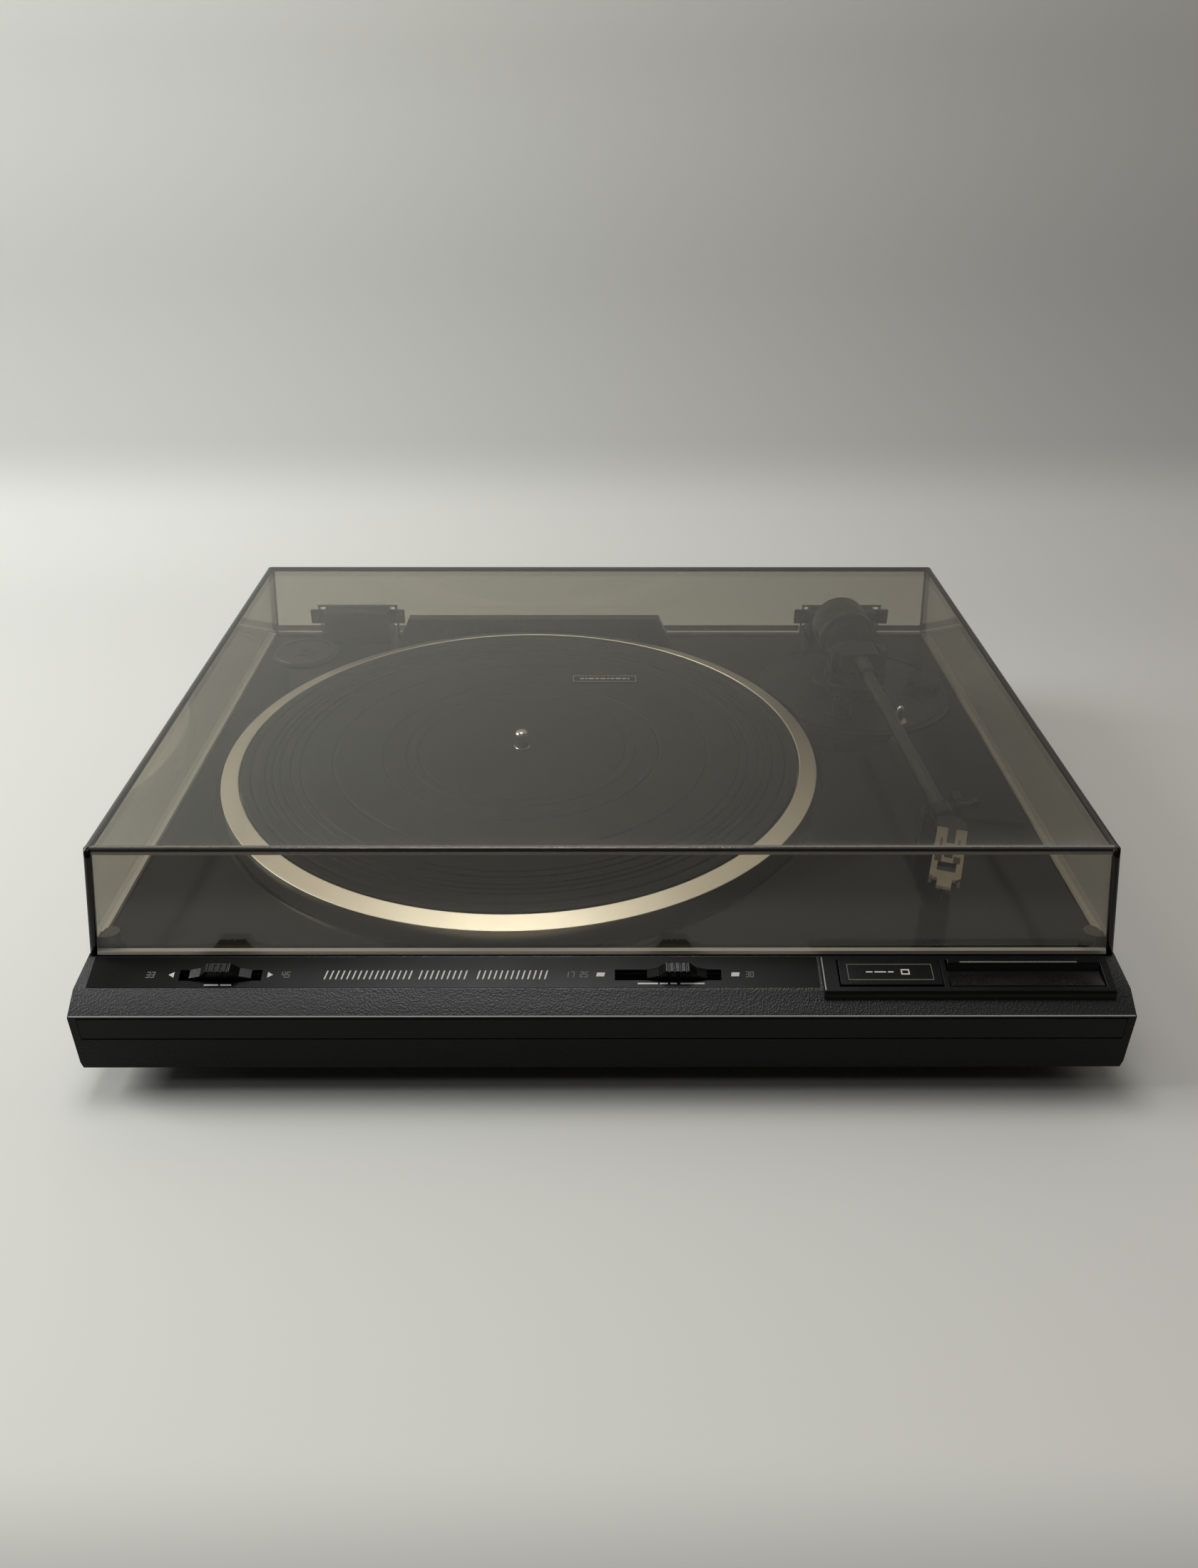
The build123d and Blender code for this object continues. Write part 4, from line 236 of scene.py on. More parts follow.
def paper_sweep():
    """Seamless grey paper with painted light and shade: lighter to the left, paler where it starts to curve
    up and at its top, darker further up the curve and towards the viewer. path is the length along the sweep,
    near enough."""
    made, tree = blank("paper_sweep")
    spot = add(tree, "ShaderNodeTexCoord").outputs["Object"]
    across = add(tree, "ShaderNodeSeparateXYZ", {"Vector": spot})
    right = add(tree, "ShaderNodeMapRange", {"Value": across.outputs["X"]},
                {"From Min": -0.5, "From Max": 0.6}, interpolation_type="SMOOTHSTEP").outputs[0]
    # painted light: the base tone is lighter to the left, towards the left lamp
    painted_glow_hue = add(tree, "ShaderNodeMix", {0: right}, {6: colour("#e6e6df"), 7: colour("#cfccc6")},
              data_type="RGBA").outputs[2]
    path = add(tree, "ShaderNodeMath", {0: across.outputs["Y"], 1: across.outputs["Z"]}).outputs[0]
    # painted light and shade along the sweep: darker towards the viewer, paler where the floor starts to
    # curve up, darker further up the curve and paler at its top
    steps = []
    for start, end, low, high in ((-0.375, -0.325, 0.66, 1.0), (0.3, 0.5, 1.0, 1.08), (0.53, 0.68, 1.0, 0.76),
                                  (0.9, 1.25, 1.0, 1.4)):
        steps.append(add(tree, "ShaderNodeMapRange", {"Value": path},
                         {"From Min": start, "From Max": end, "To Min": low, "To Max": high},
                         interpolation_type="SMOOTHSTEP").outputs[0])
    share = steps[0]
    for step in steps[1:]:
        share = add(tree, "ShaderNodeMath", {0: share, 1: step}, operation="MULTIPLY").outputs[0]
    share = add(tree, "ShaderNodeMath", {0: share}, {1: PAPER}, operation="MULTIPLY").outputs[0]
    tone = add(tree, "ShaderNodeVectorMath", {0: painted_glow_hue, "Scale": share}, operation="SCALE").outputs[0]
    fibre = add(tree, "ShaderNodeTexNoise", {"Vector": spot}, {"Scale": 1000 / 2, "Detail": 4.0}).outputs[0]
    bump = add(tree, "ShaderNodeBump", {"Height": fibre}, {"Strength": 0.1, "Distance": 0.05 * MM}).outputs[0]
    shader = add(tree, "ShaderNodeBsdfPrincipled", {"Base Color": tone, "Normal": bump},
                 {"Roughness": 0.75, "Specular IOR Level": 0.25}).outputs[0]
    add(tree, "ShaderNodeOutputMaterial", {"Surface": shader})
    return made


def make_materials():
    """One material for each finish, keyed by its slot or, for prints and edges, by its own name."""
    return {
        # grained near-black housing with a smoother deck
        "plinth_plastic": moulded_abs(),
        # ribbed polystyrene underside, flatter and greyer than the housing
        "cover_plastic": finished("high_impact_polystyrene", "#1a1a1b", "#222222", (0.5, 0.65), 1.2, 0.03,
                                  IOR=1.58),
        # zinc-plated steel, cool with soft sparkle
        "screw_steel": finished("zinc_plated_steel", "#a9abab", "#8f918f", (0.25, 0.4), 0.4, 0.01,
                                Metallic=1.0),
        # moulded foot cups
        "foot_plastic": finished("foot_abs", "#161617", "#1e1e1f", (0.4, 0.55), 0.8, 0.03),
        # moulded rubber, dead matt with dust in it
        "foot_rubber": finished("nitrile_rubber", "#1c1b1b", "#2a2927", (0.75, 0.9), 0.9, 0.05,
                                Sheen_Weight=0.15, Sheen_Roughness=0.5),
        # polished acrylic strip, blue-black and mirror-like
        "strip_gloss": finished("black_acrylic", "#040507", "#07080a", (0.06, 0.13), 3.0, 0.004,
                                IOR=1.49, Specular_IOR_Level=0.13),
        # screen-printed polycarbonate film, satin
        "panel_dark": finished("polycarbonate_film", "#0c0c0b", "#100f0e", (0.26, 0.36), 0.5, 0.01,
                               IOR=1.58, Specular_IOR_Level=0.09),
        # fine-grained ABS bezel round the keys
        "trim_dark": finished("bezel_abs", "#0c0c0c", "#0f0f0f", (0.26, 0.4), 0.7, 0.02,
                              Specular_IOR_Level=0.16),
        # oil-filled sintered bush
        "bearing_brass": finished("sintered_bronze", "#8a6a35", "#6f5428", (0.35, 0.5), 0.6, 0.02,
                                  Metallic=1.0),
        # natural acetal, milky and waxy
        "gear_plastic": finished("acetal", "#d9d5c8", "#cbc6b6", (0.35, 0.45), 1.0, 0.01,
                                 Subsurface_Weight=0.15, Subsurface_Scale=0.002),
        # drawn steel can
        "motor_steel": finished("drawn_steel", "#8d8f90", "#757778", (0.3, 0.45), 0.5, 0.01, Metallic=1.0),
        # chloroprene belt, dusty black
        "belt_rubber": finished("chloroprene_belt", "#191919", "#232221", (0.6, 0.8), 0.6, 0.02),
        # satin ABS of the arm's mouldings
        "arm_plastic": finished("satin_abs", "#101010", "#151515", (0.24, 0.36), 0.6, 0.02,
                                 IOR=1.53, Specular_IOR_Level=0.4),
        # chromed brass, mirror-bright
        "chrome_parts": finished("chromed_brass", "#f2f2f0", "#e6e6e4", (0.16, 0.26), 2.0, 0.002,
                                 Metallic=1.0),
        # glass-filled nylon, slightly grey
        "hinge_plastic": finished("glass_filled_nylon", "#1a1a1b", "#252525", (0.4, 0.55), 0.7, 0.03),
        # varnished laminations
        "transformer_steel": finished("varnished_laminations", "#4b4037", "#38302a", (0.35, 0.5), 0.5, 0.03,
                                      Metallic=0.6),
        # phenolic paper board, brown
        "board_plastic": finished("phenolic_board", "#8a6536", "#7a572d", (0.4, 0.5), 1.5, 0.02),
        # sleeved capacitors and moulded chips
        "component_plastic": finished("epoxy_and_sleeving", "#15181f", "#20242c", (0.3, 0.45), 1.0, 0.02),
        # die-cast and diamond-turned aluminium, champagne
        "platter_aluminium": turned_metal("turned_aluminium", "#f1ebde", "#e6decd", (0.34, 0.46), SPINDLE,
                                          0.35, 0.01, 0.3),
        # moulded rubber mat, dark grey with a dull bloom
        "mat_rubber": finished("butyl_rubber", "#181816", "#1e1e1b", (0.5, 0.66), 0.8, 0.03,
                               Specular_IOR_Level=0.25),
        # gloss plaque
        "plaque_plastic": finished("gloss_abs", "#060606", "#090909", (0.4, 0.5), 1.0, 0.005,
                                   Specular_IOR_Level=0.1),
        # ground and polished steel
        "spindle_steel": turned_metal("ground_steel", "#f4f4f1", "#e6e6e2", (0.2, 0.3), SPINDLE, 0.2, 0.003,
                                      0.2),
        # smoked clear sheet
        "lid_plastic": smoked_acrylic(),
        # black anodised aluminium with a bronze cast
        "arm_dark_metal": finished("black_anodised_aluminium", "#232120", "#2b2826", (0.28, 0.4), 0.3, 0.006,
                                   Metallic=0.7),
        # satin black lacquered tube
        "arm_tube_metal": finished("lacquered_aluminium", "#1c1b1b", "#242322", (0.22, 0.34), 0.4, 0.005,
                                   Coat_Weight=0.3, Coat_Roughness=0.15),
        # pressed aluminium, brushed and a little tarnished
        "headshell_metal": finished("pressed_aluminium", "#b3aa9b", "#8f8574", (0.28, 0.45), 0.5, 0.01, 6.0,
                                    Metallic=1.0),
        # cartridge body
        "cartridge_plastic": finished("gloss_polystyrene", "#1a1816", "#26211c", (0.15, 0.3), 1.0, 0.01),
        # stylus holder, warm brown
        "stylus_plastic": finished("tinted_polystyrene", "#4a2e1c", "#5a3a22", (0.2, 0.35), 1.0, 0.01),
        # blackened brass
        "weight_metal": finished("blackened_brass", "#272524", "#302d2b", (0.24, 0.38), 0.4, 0.008,
                                 Metallic=0.6),
        # gloss-moulded knobs and keys
        "knob_plastic": finished("knob_abs", "#0b0b0b", "#0f0f0f", (0.2, 0.32), 0.6, 0.015, IOR=1.53,
                                 Specular_IOR_Level=0.2),
        # black nylon hook
        "clip_plastic": finished("black_nylon", "#1d1d1c", "#262524", (0.35, 0.5), 0.8, 0.01),
        # lathe-turned adaptor
        "adaptor_aluminium": finished("anodised_casting", "#3b3a38", "#302f2d", (0.4, 0.5), 0.4, 0.01,
                                      Metallic=0.5),
        # screen ink, pale and matt
        "silver_ink": finished("silver_ink", "#d8d5cc", "#c6c3ba", (0.45, 0.6), 0.5, 0.004),
        # thin key outlines and figures in a dimmer ink, and the painted highlights of the front strip's
        # grooves
        "grey_ink_and_painted_highlight": finished("grey_ink_and_painted_highlight", "#6a6965", "#5b5a57", (0.45, 0.6), 0.5, 0.004),
        # painted glow: light that leaves the cut edge of the sheet, drawn as a pale colour
        "painted_edge_glow": finished("painted_edge_glow_acrylic", "#f3efe6", "#faf7ef", (0.15, 0.3), 2.0, 0.004),
        # painted shade where two walls of the sheet meet and the light is soaked up
        "painted_fold_shade": finished("painted_fold_shade_acrylic", "#0d0c0b", "#121110", (0.12, 0.2), 2.0, 0.004,
                              Specular_IOR_Level=0.3),
        # painted sheen and glow: the sheet's thickness seen through its own faces along the front fold
        "painted_fold_sheen": finished("painted_sheen_acrylic", "#5d5953", "#69655e", (0.2, 0.35), 2.0, 0.004,
                               Specular_IOR_Level=0.3),
        "painted_fold_glow": finished("painted_glow_acrylic", "#a1988c", "#7d776e", (0.2, 0.35), 2.0, 0.004,
                              Specular_IOR_Level=0.3),
        # soft bumpers, a hazy grey vinyl
        "bumper_vinyl": finished("hazy_vinyl", "#3d3934", "#46413b", (0.35, 0.5), 1.0, 0.01,
                                 Subsurface_Weight=0.2, Subsurface_Scale=0.002),
        # the cartridge's mounting lugs, seen through the shell's windows
        "brown_phenolic": finished("brown_phenolic", "#2b1d14", "#3a281b", (0.35, 0.5), 0.6, 0.01),
        # painted highlight along the edge of the band and of the key housing
        "painted_edge_highlight": finished("painted_edge_highlight_abs", "#a19f99", "#86847e", (0.3, 0.45), 6.0, 0.004),
        # painted highlight along the lift key's ridge
        "painted_ridge_highlight": finished("painted_ridge_highlight_strip", "#b4b2ac", "#9a9893", (0.2, 0.3), 0.4, 0.003,
                                Metallic=0.8),
    }


def dress(materials):
    """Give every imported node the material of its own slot."""
    slots = {entry["node"]: entry["material_slot"] for entry in frame["record"]["subparts"]}
    for node, shape in NODES.items():
        shape.data.materials.clear()
        shape.data.materials.append(materials["bumper_vinyl" if node == "lid_bumpers" else slots[node]])
    return slots


def piece(name, points, faces, material, body, smooth=True):
    """A new mesh in the row frame that rides a body. Doubles are merged and faces turned outwards."""
    mesh = bpy.data.meshes.new(name)
    mesh.from_pydata(np.asarray(points).tolist(), [], [list(face) for face in faces])
    work = bmesh.new()
    work.from_mesh(mesh)
    bmesh.ops.remove_doubles(work, verts=work.verts, dist=1e-7)
    bmesh.ops.recalc_face_normals(work, faces=work.faces)
    work.to_mesh(mesh)
    work.free()
    mesh.materials.append(material)
    mesh.polygons.foreach_set("use_smooth", np.full(len(mesh.polygons), smooth))
    made = bpy.data.objects.new(name, mesh)
    bpy.context.scene.collection.objects.link(made)
    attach(made, body)
    return made


def rounded(profile, radius, steps=3):
    """A closed outline with each corner swept by a quadratic curve that starts radius before it."""
    corner = np.array(profile, float)
    before = np.roll(corner, 1, axis=0) - corner
    after = np.roll(corner, -1, axis=0) - corner
    near = np.linalg.norm(before, axis=1, keepdims=True)
    far = np.linalg.norm(after, axis=1, keepdims=True)
    start = corner + before / near * np.minimum(radius, near * 0.45)
    end = corner + after / far * np.minimum(radius, far * 0.45)
    t = np.linspace(0, 1, steps + 1)[None, :, None]
    curve = (1 - t) ** 2 * start[:, None] + 2 * t * (1 - t) * corner[:, None] + t ** 2 * end[:, None]
    return curve.reshape(-1, 2)


def turned(profile, centre, segments=192):
    """A closed outline of (radius, height) carried round the vertical axis through centre:
    point = centre + (-radius * cos a, -radius * sin a, height)."""
    angle = np.linspace(0, 2 * math.pi, segments, endpoint=False)[:, None]
    radius, height = profile[None, :, 0], profile[None, :, 1] + 0 * angle
    local = np.stack([-radius * np.cos(angle), -radius * np.sin(angle), height], axis=-1)
    centre = np.array(centre, float) + np.array((0, FRONT, 0))
    points = ((local + centre) * MM).reshape(-1, 3)
    return points, wrapped(segments, len(profile))


def wrapped(rows, columns):
    """Quads of a grid that closes on itself both ways."""
    row, column = np.meshgrid(np.arange(rows), np.arange(columns), indexing="ij")
    ahead, beside = (row + 1) % rows, (column + 1) % columns
    quads = [row * columns + column, row * columns + beside, ahead * columns + beside,
             ahead * columns + column]
    return np.stack(quads, axis=-1).reshape(-1, 4).tolist()


def soften(node, width, material, slot):
    """Replace a node by a copy of it with its moulded edges rounded by a narrow bevel."""
    work = bmesh.new()
    work.from_mesh(NODES[node].data)
    bmesh.ops.remove_doubles(work, verts=work.verts, dist=2e-6)
    bmesh.ops.dissolve_limit(work, angle_limit=math.radians(1.0), verts=work.verts, edges=work.edges)
    mesh = bpy.data.meshes.new(node + "_moulded")
    work.to_mesh(mesh)
    work.free()
    custom = mesh.attributes.get("custom_normal")
    if custom:
        mesh.attributes.remove(custom)
    mesh.materials.clear()
    mesh.materials.append(material)
    mesh.polygons.foreach_set("use_smooth", np.ones(len(mesh.polygons), bool))
    made = bpy.data.objects.new(node + "_moulded", mesh)
    bpy.context.scene.collection.objects.link(made)
    bevel = made.modifiers.new("moulded_edges", "BEVEL")
    bevel.width = width * MM
    bevel.segments = 2
    bevel.limit_method = "ANGLE"
    bevel.angle_limit = math.radians(28)
    bevel.harden_normals = True
    bevel.use_clamp_overlap = True
    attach(made, NODES[node]["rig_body"])
    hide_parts(node)
    return made


def top_of(node):
    """A function that finds the height of a node's top under a point of the plan, in millimetres."""
    mesh = NODES[node].data
    tree = BVHTree.FromPolygons([v.co for v in mesh.vertices], [p.vertices for p in mesh.polygons])

    def height(x, y):
        hit = tree.ray_cast(Vector(place(x, y, 200)), Vector((0, 0, -1)))[0]
        return hit.z / MM if hit else 0.0
    return height


INK = 0.05      # thickness of a print, drawn thicker than real ink so that it shows
SINK = 0.02     # how far a print reaches below its surface


def printed(name, outlines, node, material, body):
    """Thin prints on top of a node: each outline of plan points is laid on the surface, INK high."""
    height = top_of(node)
    points, faces = [], []
    for outline in outlines:
        count, first = len(outline), len(points)
        low = [(x, y, height(x, y) - SINK) for x, y in outline]
        points += low + [(x, y, z + INK + SINK) for x, y, z in low]
        faces += [tuple(range(first + count, first + 2 * count)),
                  tuple(range(first + count - 1, first - 1, -1))]
        faces += [(first + i, first + (i + 1) % count, first + count + (i + 1) % count, first + count + i)
                  for i in range(count)]
    grid = np.array(points)
    return piece(name, place(grid[:, 0], grid[:, 1], grid[:, 2]), faces, material, body, smooth=False)


def bar(x0, x1, y, width, slant=0.0):
    """Outline of a short bar along X, leaning by slant."""
    return [(x0, y - width / 2), (x1, y - width / 2), (x1 + slant, y + width / 2),
            (x0 + slant, y + width / 2)]


def frame_bars(x0, x1, y0, y1, width):
    """Outlines of the four sides of a thin rectangle."""
    half = width / 2
    return [bar(x0, x1, y0 + half, width), bar(x0, x1, y1 - half, width),
            [(x0, y0 + width), (x0 + width, y0 + width), (x0 + width, y1 - width), (x0, y1 - width)],
            [(x1 - width, y0 + width), (x1, y0 + width), (x1, y1 - width), (x1 - width, y1 - width)]]


def triangle(x, y, size, way):
    """Outline of a small pointer that faces left or right."""
    return [(x, y), (x + way * size, y - size * 0.55), (x + way * size, y + size * 0.55)][::way]


# Figures drawn as strokes on a grid 2 wide and 4 high
STROKES = {
    "0": ["0040", "4042", "4202", "0200"], "1": ["0141"], "2": ["4042", "4222", "2220", "2000", "0002"],
    "3": ["4042", "4202", "2022", "0200"], "4": ["4020", "2022", "4202"],
    "5": ["4240", "4020", "2022", "2202", "0200"],
    "7": ["4042", "4202"],
}


def figures(text, x, y, size, slant=0.12):
    """Outlines of plain numbers: each stroke runs between two grid points, as row and column pairs."""
    outlines = []
    unit = size / 4
    weight = unit * 0.32
    for step, mark in enumerate(text):
        left = x + step * unit * 3.2
        for stroke in STROKES[mark]:
            row0, col0, row1, col1 = (int(c) for c in stroke)
            a = np.array((left + col0 * unit + slant * row0 * unit, y + (row0 - 2) * unit))
            b = np.array((left + col1 * unit + slant * row1 * unit, y + (row1 - 2) * unit))
            run = (b - a) / np.linalg.norm(b - a)
            out = np.array((-run[1], run[0])) * weight
            outlines.append([tuple(a - run * weight - out), tuple(b + run * weight - out),
                             tuple(b + run * weight + out), tuple(a - run * weight + out)])
    return outlines


def make_legends(materials):
    """Prints on the control slope: pointers and figures by the sliders, and leaning hatching between them."""
    middle = 16.2        # y of the sliders' row on the slope
    dim = figures("33", -182.4, middle, 2.3) + figures("45", -128.4, middle, 2.3)
    dim += figures("17", -14.4, middle, 2.2) + figures("25", -9.0, middle, 2.2) + figures("30", 57.4, middle,
                                                                                          2.2)
    printed("slider_figures", dim, "control_panel", materials["grey_ink_and_painted_highlight"], "plinth")
    marks = [triangle(-173.6, middle, 2.2, 1), triangle(-131.8, middle, 2.2, -1)]
    marks += [bar(-2.6, 0.6, middle, 1.7, 0.4), bar(51.4, 54.6, middle, 1.7, 0.4)]
    marks += [bar(-158.5, -152.8, 11.7, 0.6), bar(-152.0, -147.6, 11.7, 0.6)]
    marks += [bar(14.0, 22.0, 12.2, 0.6), bar(22.8, 26.0, 12.2, 0.6), bar(27.0, 29.6, 12.2, 0.6),
              bar(31.0, 40.6, 12.2, 0.6)]
    printed("slider_marks", marks, "control_panel", materials["silver_ink"], "plinth")
    # leaning hatching in three groups, where the real one has its words
    hatch = []
    low, high, lean, weight = 14.2, 18.0, 0.26, 0.58
    for first, last in ((-111.4, -77.2), (-73.6, -53.6), (-50.4, -22.4)):
        for x in np.arange(first, last, 2.25):
            hatch.append([(x, low), (x + weight, low), (x + weight + lean * (high - low), high),
                          (x + lean * (high - low), high)])
    printed("leaning_hatch", hatch, "control_panel", materials["silver_ink"], "plinth")


def make_key_marks(materials):
    """Thin outline and a square stop sign on the stop key, and painted highlights along the lift key's ridge
    and down the key housing's left edge.
    """
    outline = frame_bars(97.6, 131.6, 11.2, 18.4, 0.28)
    knob = top_of("speed_slider")
    printed("stop_outline", outline, "stop_key", materials["grey_ink_and_painted_highlight"], "stop_key")
    sign = frame_bars(119.0, 122.4, 13.6, 16.0, 0.5)
    sign += [bar(105.0, 107.6, 14.8, 0.5), bar(108.4, 113.0, 14.8, 0.5), bar(113.8, 116.0, 14.8, 0.5)]
    printed("stop_sign", sign, "stop_key", materials["silver_ink"], "stop_key")
    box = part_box("speed_slider")
    middle = (box[0].x + box[1].x) / 2 / MM
    top = max(np.linspace(14.0, 22.0, 33), key=lambda y: knob(middle, y))
    printed("slider_mark", [bar(middle - 2.0, middle + 2.0, top, 1.0)], "speed_slider",
            materials["silver_ink"],
            "speed_slider")
    # a painted highlight down the key housing's left edge
    printed("housing_edge_painted_highlight", [[(87.9, 7.2), (88.35, 7.2), (88.35, 22.0), (87.9, 22.0)]], "key_housing",
            materials["painted_edge_highlight"], "plinth")
    # painted highlight along the lift key's ridge
    printed("lift_ridge_painted_highlight", [bar(143.0, 190.0, 18.4, 0.6)], "lift_key", materials["painted_ridge_highlight"], "lift_key")


def make_plaque_print(materials):
    """Silver frame and generic bars on the mat's plaque."""
    marks = frame_bars(-15.3, 20.5, 254.6, 262.2, 0.3)
    x = -11.6
    for width in (2.2, 1.2, 3.0, 2.2, 3.0, 1.2, 2.2, 3.0, 2.2, 1.2):
        marks.append(bar(x, x + width, 258.4, 1.6, 0.3))
        x += width + 0.75
    printed("plaque_print", marks, "mat_plaque", materials["silver_ink"], "platter")


def make_ledge_line(materials):
    """A painted highlight along the edge where the grainy band meets the front."""
    line = [bar(x, x + 20.95, 0.36, 0.42) for x in np.linspace(-209.4, 188.5, 20)]
    printed("ledge_painted_highlight", line, "plinth_shell", materials["painted_edge_highlight"], "plinth")


SHELL_AT = (PIVOT[0] + 179.5 * math.sin(ARM_LEAN), PIVOT[1] - 179.5 * math.cos(ARM_LEAN))
SHELL_TURN = ARM_LEAN - math.radians(21.5)


def on_shell(points):
    """Plan points from (across, along) of the headshell, whose axis is turned by the offset angle."""
    across = np.array((math.cos(SHELL_TURN), math.sin(SHELL_TURN)))
    along = np.array((math.sin(SHELL_TURN), -math.cos(SHELL_TURN)))
    return [tuple(np.array(SHELL_AT) + a * across + b * along) for a, b in points]


def make_shell_marks(materials):
    """The cartridge's brown lugs seen through the headshell, where its top is flat enough to carry them."""
    lugs = [[(-5.4, 22.5), (-2.6, 22.5), (-2.6, 27.5), (-5.4, 27.5)],
            [(2.2, 22.5), (5.0, 22.5), (5.0, 27.5), (2.2, 27.5)],
            [(-4.2, 9.0), (-3.2, 9.0), (-3.2, 19.5), (-4.2, 19.5)],
            [(3.2, 9.0), (4.2, 9.0), (4.2, 19.5), (3.2, 19.5)]]
    height = top_of("headshell")
    flat = []
    for lug in lugs:
        plan = on_shell(lug)
        levels = [height(x, y) for x, y in plan]
        if max(levels) - min(levels) < 0.6:
            flat.append(plan[::-1])
    if flat:
        printed("shell_lugs", flat, "headshell", materials["brown_phenolic"], "arm")


def make_strip_lines(materials):
    """Painted highlights of two fine grooves along the glossy front strip, as thin grey bars."""
    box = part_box("front_strip")
    front = box[0].y / MM - FRONT
    points, faces = [], []
    high = 0.25
    for z in (29.6, 38.7):
        first = len(points)
        x0, x1 = box[0].x / MM + 0.6, box[1].x / MM - 0.6
        for y in (front + 0.02, front + 0.3):
            points += [(x0, y, z), (x1, y, z), (x1, y, z + high), (x0, y, z + high)]
        faces += [[first + i for i in side] for side in
                  ((0, 1, 2, 3), (7, 6, 5, 4), (0, 4, 5, 1), (1, 5, 6, 2), (2, 6, 7, 3), (3, 7, 4, 0))]
    grid = np.array(points)
    piece("strip_groove_painted_highlights", place(grid[:, 0], grid[:, 1], grid[:, 2]), faces, materials["grey_ink_and_painted_highlight"],
          "plinth",
          smooth=False)


def make_platter(materials):
    """The platter's section turned about the spindle, with small radii on its machined corners."""
    top, plate = 60.8, 57.4
    section = [(4.02, plate), (141.0, plate), (141.0, top - 0.5), (141.5, top), (150.0, top - 2.3),
               (150.0, 46.8), (146.4, 46.8), (146.4, 54.4), (62.0, 54.4), (62.0, 49.5), (58.8, 49.5),
               (58.8, 54.4),
               (11.0, 54.4), (11.0, 49.9), (4.02, 49.9)]
    points, faces = turned(rounded(section, 0.35), (*SPINDLE, 0), 360)
    made = piece("platter_casting", points, faces, materials["platter_aluminium"], "platter")
    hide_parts("platter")
    made.modifiers.new("crisp", "WEIGHTED_NORMAL")


def mat_section():
    """Outline of the mat: a low centre, a nearly flat top, and narrow grooves at a few radii."""
    low, top = 57.4, 61.0
    radius = np.arange(4.6, 139.6, 0.32)
    height = np.full(radius.shape, top)
    for groove, wide in ((53.2, 0.8), (58.7, 0.9), (70.5, 1.2), (95.2, 1.4), (111.5, 0.9), (115.9, 1.2),
                         (121.1, 0.9), (124.6, 1.2), (128.1, 0.9), (134.8, 1.6)):
        height -= 0.75 * np.exp(-((radius - groove) / (wide * 0.55)) ** 4)
    upper = np.stack([radius, height], axis=-1)
    return np.concatenate([[[4.2, low], [4.2, top - 0.4]], upper,
                           [[140.1, top - 0.15], [140.4, top - 0.5], [140.4, low]]])


def make_mat(materials):
    """The mat's outline turned about the spindle."""
    points, faces = turned(mat_section(), (*SPINDLE, 0), 200)
    made = piece("ribbed_mat", points, faces, materials["mat_rubber"], "platter")
    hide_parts("platter_mat")


# The cover: each side leans in by its draft from LID_LOW up to LID_TOP
LID_LOW = 51.5
LID_TOP = 98.75
LID_HALF = 207.5
LID_SIDE_DRAFT = 5.0
LID_FRONT = 24.7
LID_FRONT_DRAFT = 6.6
LID_REAR = 345.4
LID_REAR_DRAFT = 7.0
CUT_END = 2.9            # the cut edge's front and rear runs stop this far before the corners
CUT_SIDE_END = 3.5       # and its side runs this far
NOTCH_HALF = 23.2
NOTCH_TOP = 71.5
HINGE_X = 151.5


def lid_plan(z, inset, radius=1.6, steps=4):
    """The cover's outline at height z: a rectangle that shrinks upwards with the draft of each side,
    inset from the outer face, with rounded corners."""
    rise = (z - LID_LOW) / (LID_TOP - LID_LOW)
    half = LID_HALF - LID_SIDE_DRAFT * rise - inset
    front = LID_FRONT + LID_FRONT_DRAFT * rise + inset
    rear = LID_REAR - LID_REAR_DRAFT * rise - inset
    outline = rounded([(-half, front), (half, front), (half, rear), (-half, rear)], radius, steps)
    return np.column_stack([outline, np.full(len(outline), z)])


def swept(paths):
    """A tube through four or more rails of equal length: rail i gives corner i of each section."""
    grid = np.stack(paths, axis=1)
    return grid.reshape(-1, 3), grid.shape[0], grid.shape[1]


def open_tube(paths):
    """Points and faces of a tube with two capped ends."""
    points, rows, columns = swept(paths)
    row, column = np.meshgrid(np.arange(rows - 1), np.arange(columns), indexing="ij")
    beside = (column + 1) % columns
    quads = np.stack([row * columns + column, row * columns + beside, (row + 1) * columns + beside,
                      (row + 1) * columns + column], axis=-1).reshape(-1, 4).tolist()
    last = (rows - 1) * columns
    quads += [list(range(columns))[::-1], list(range(last, last + columns))]
    return place(points[:, 0], points[:, 1], points[:, 2]), quads


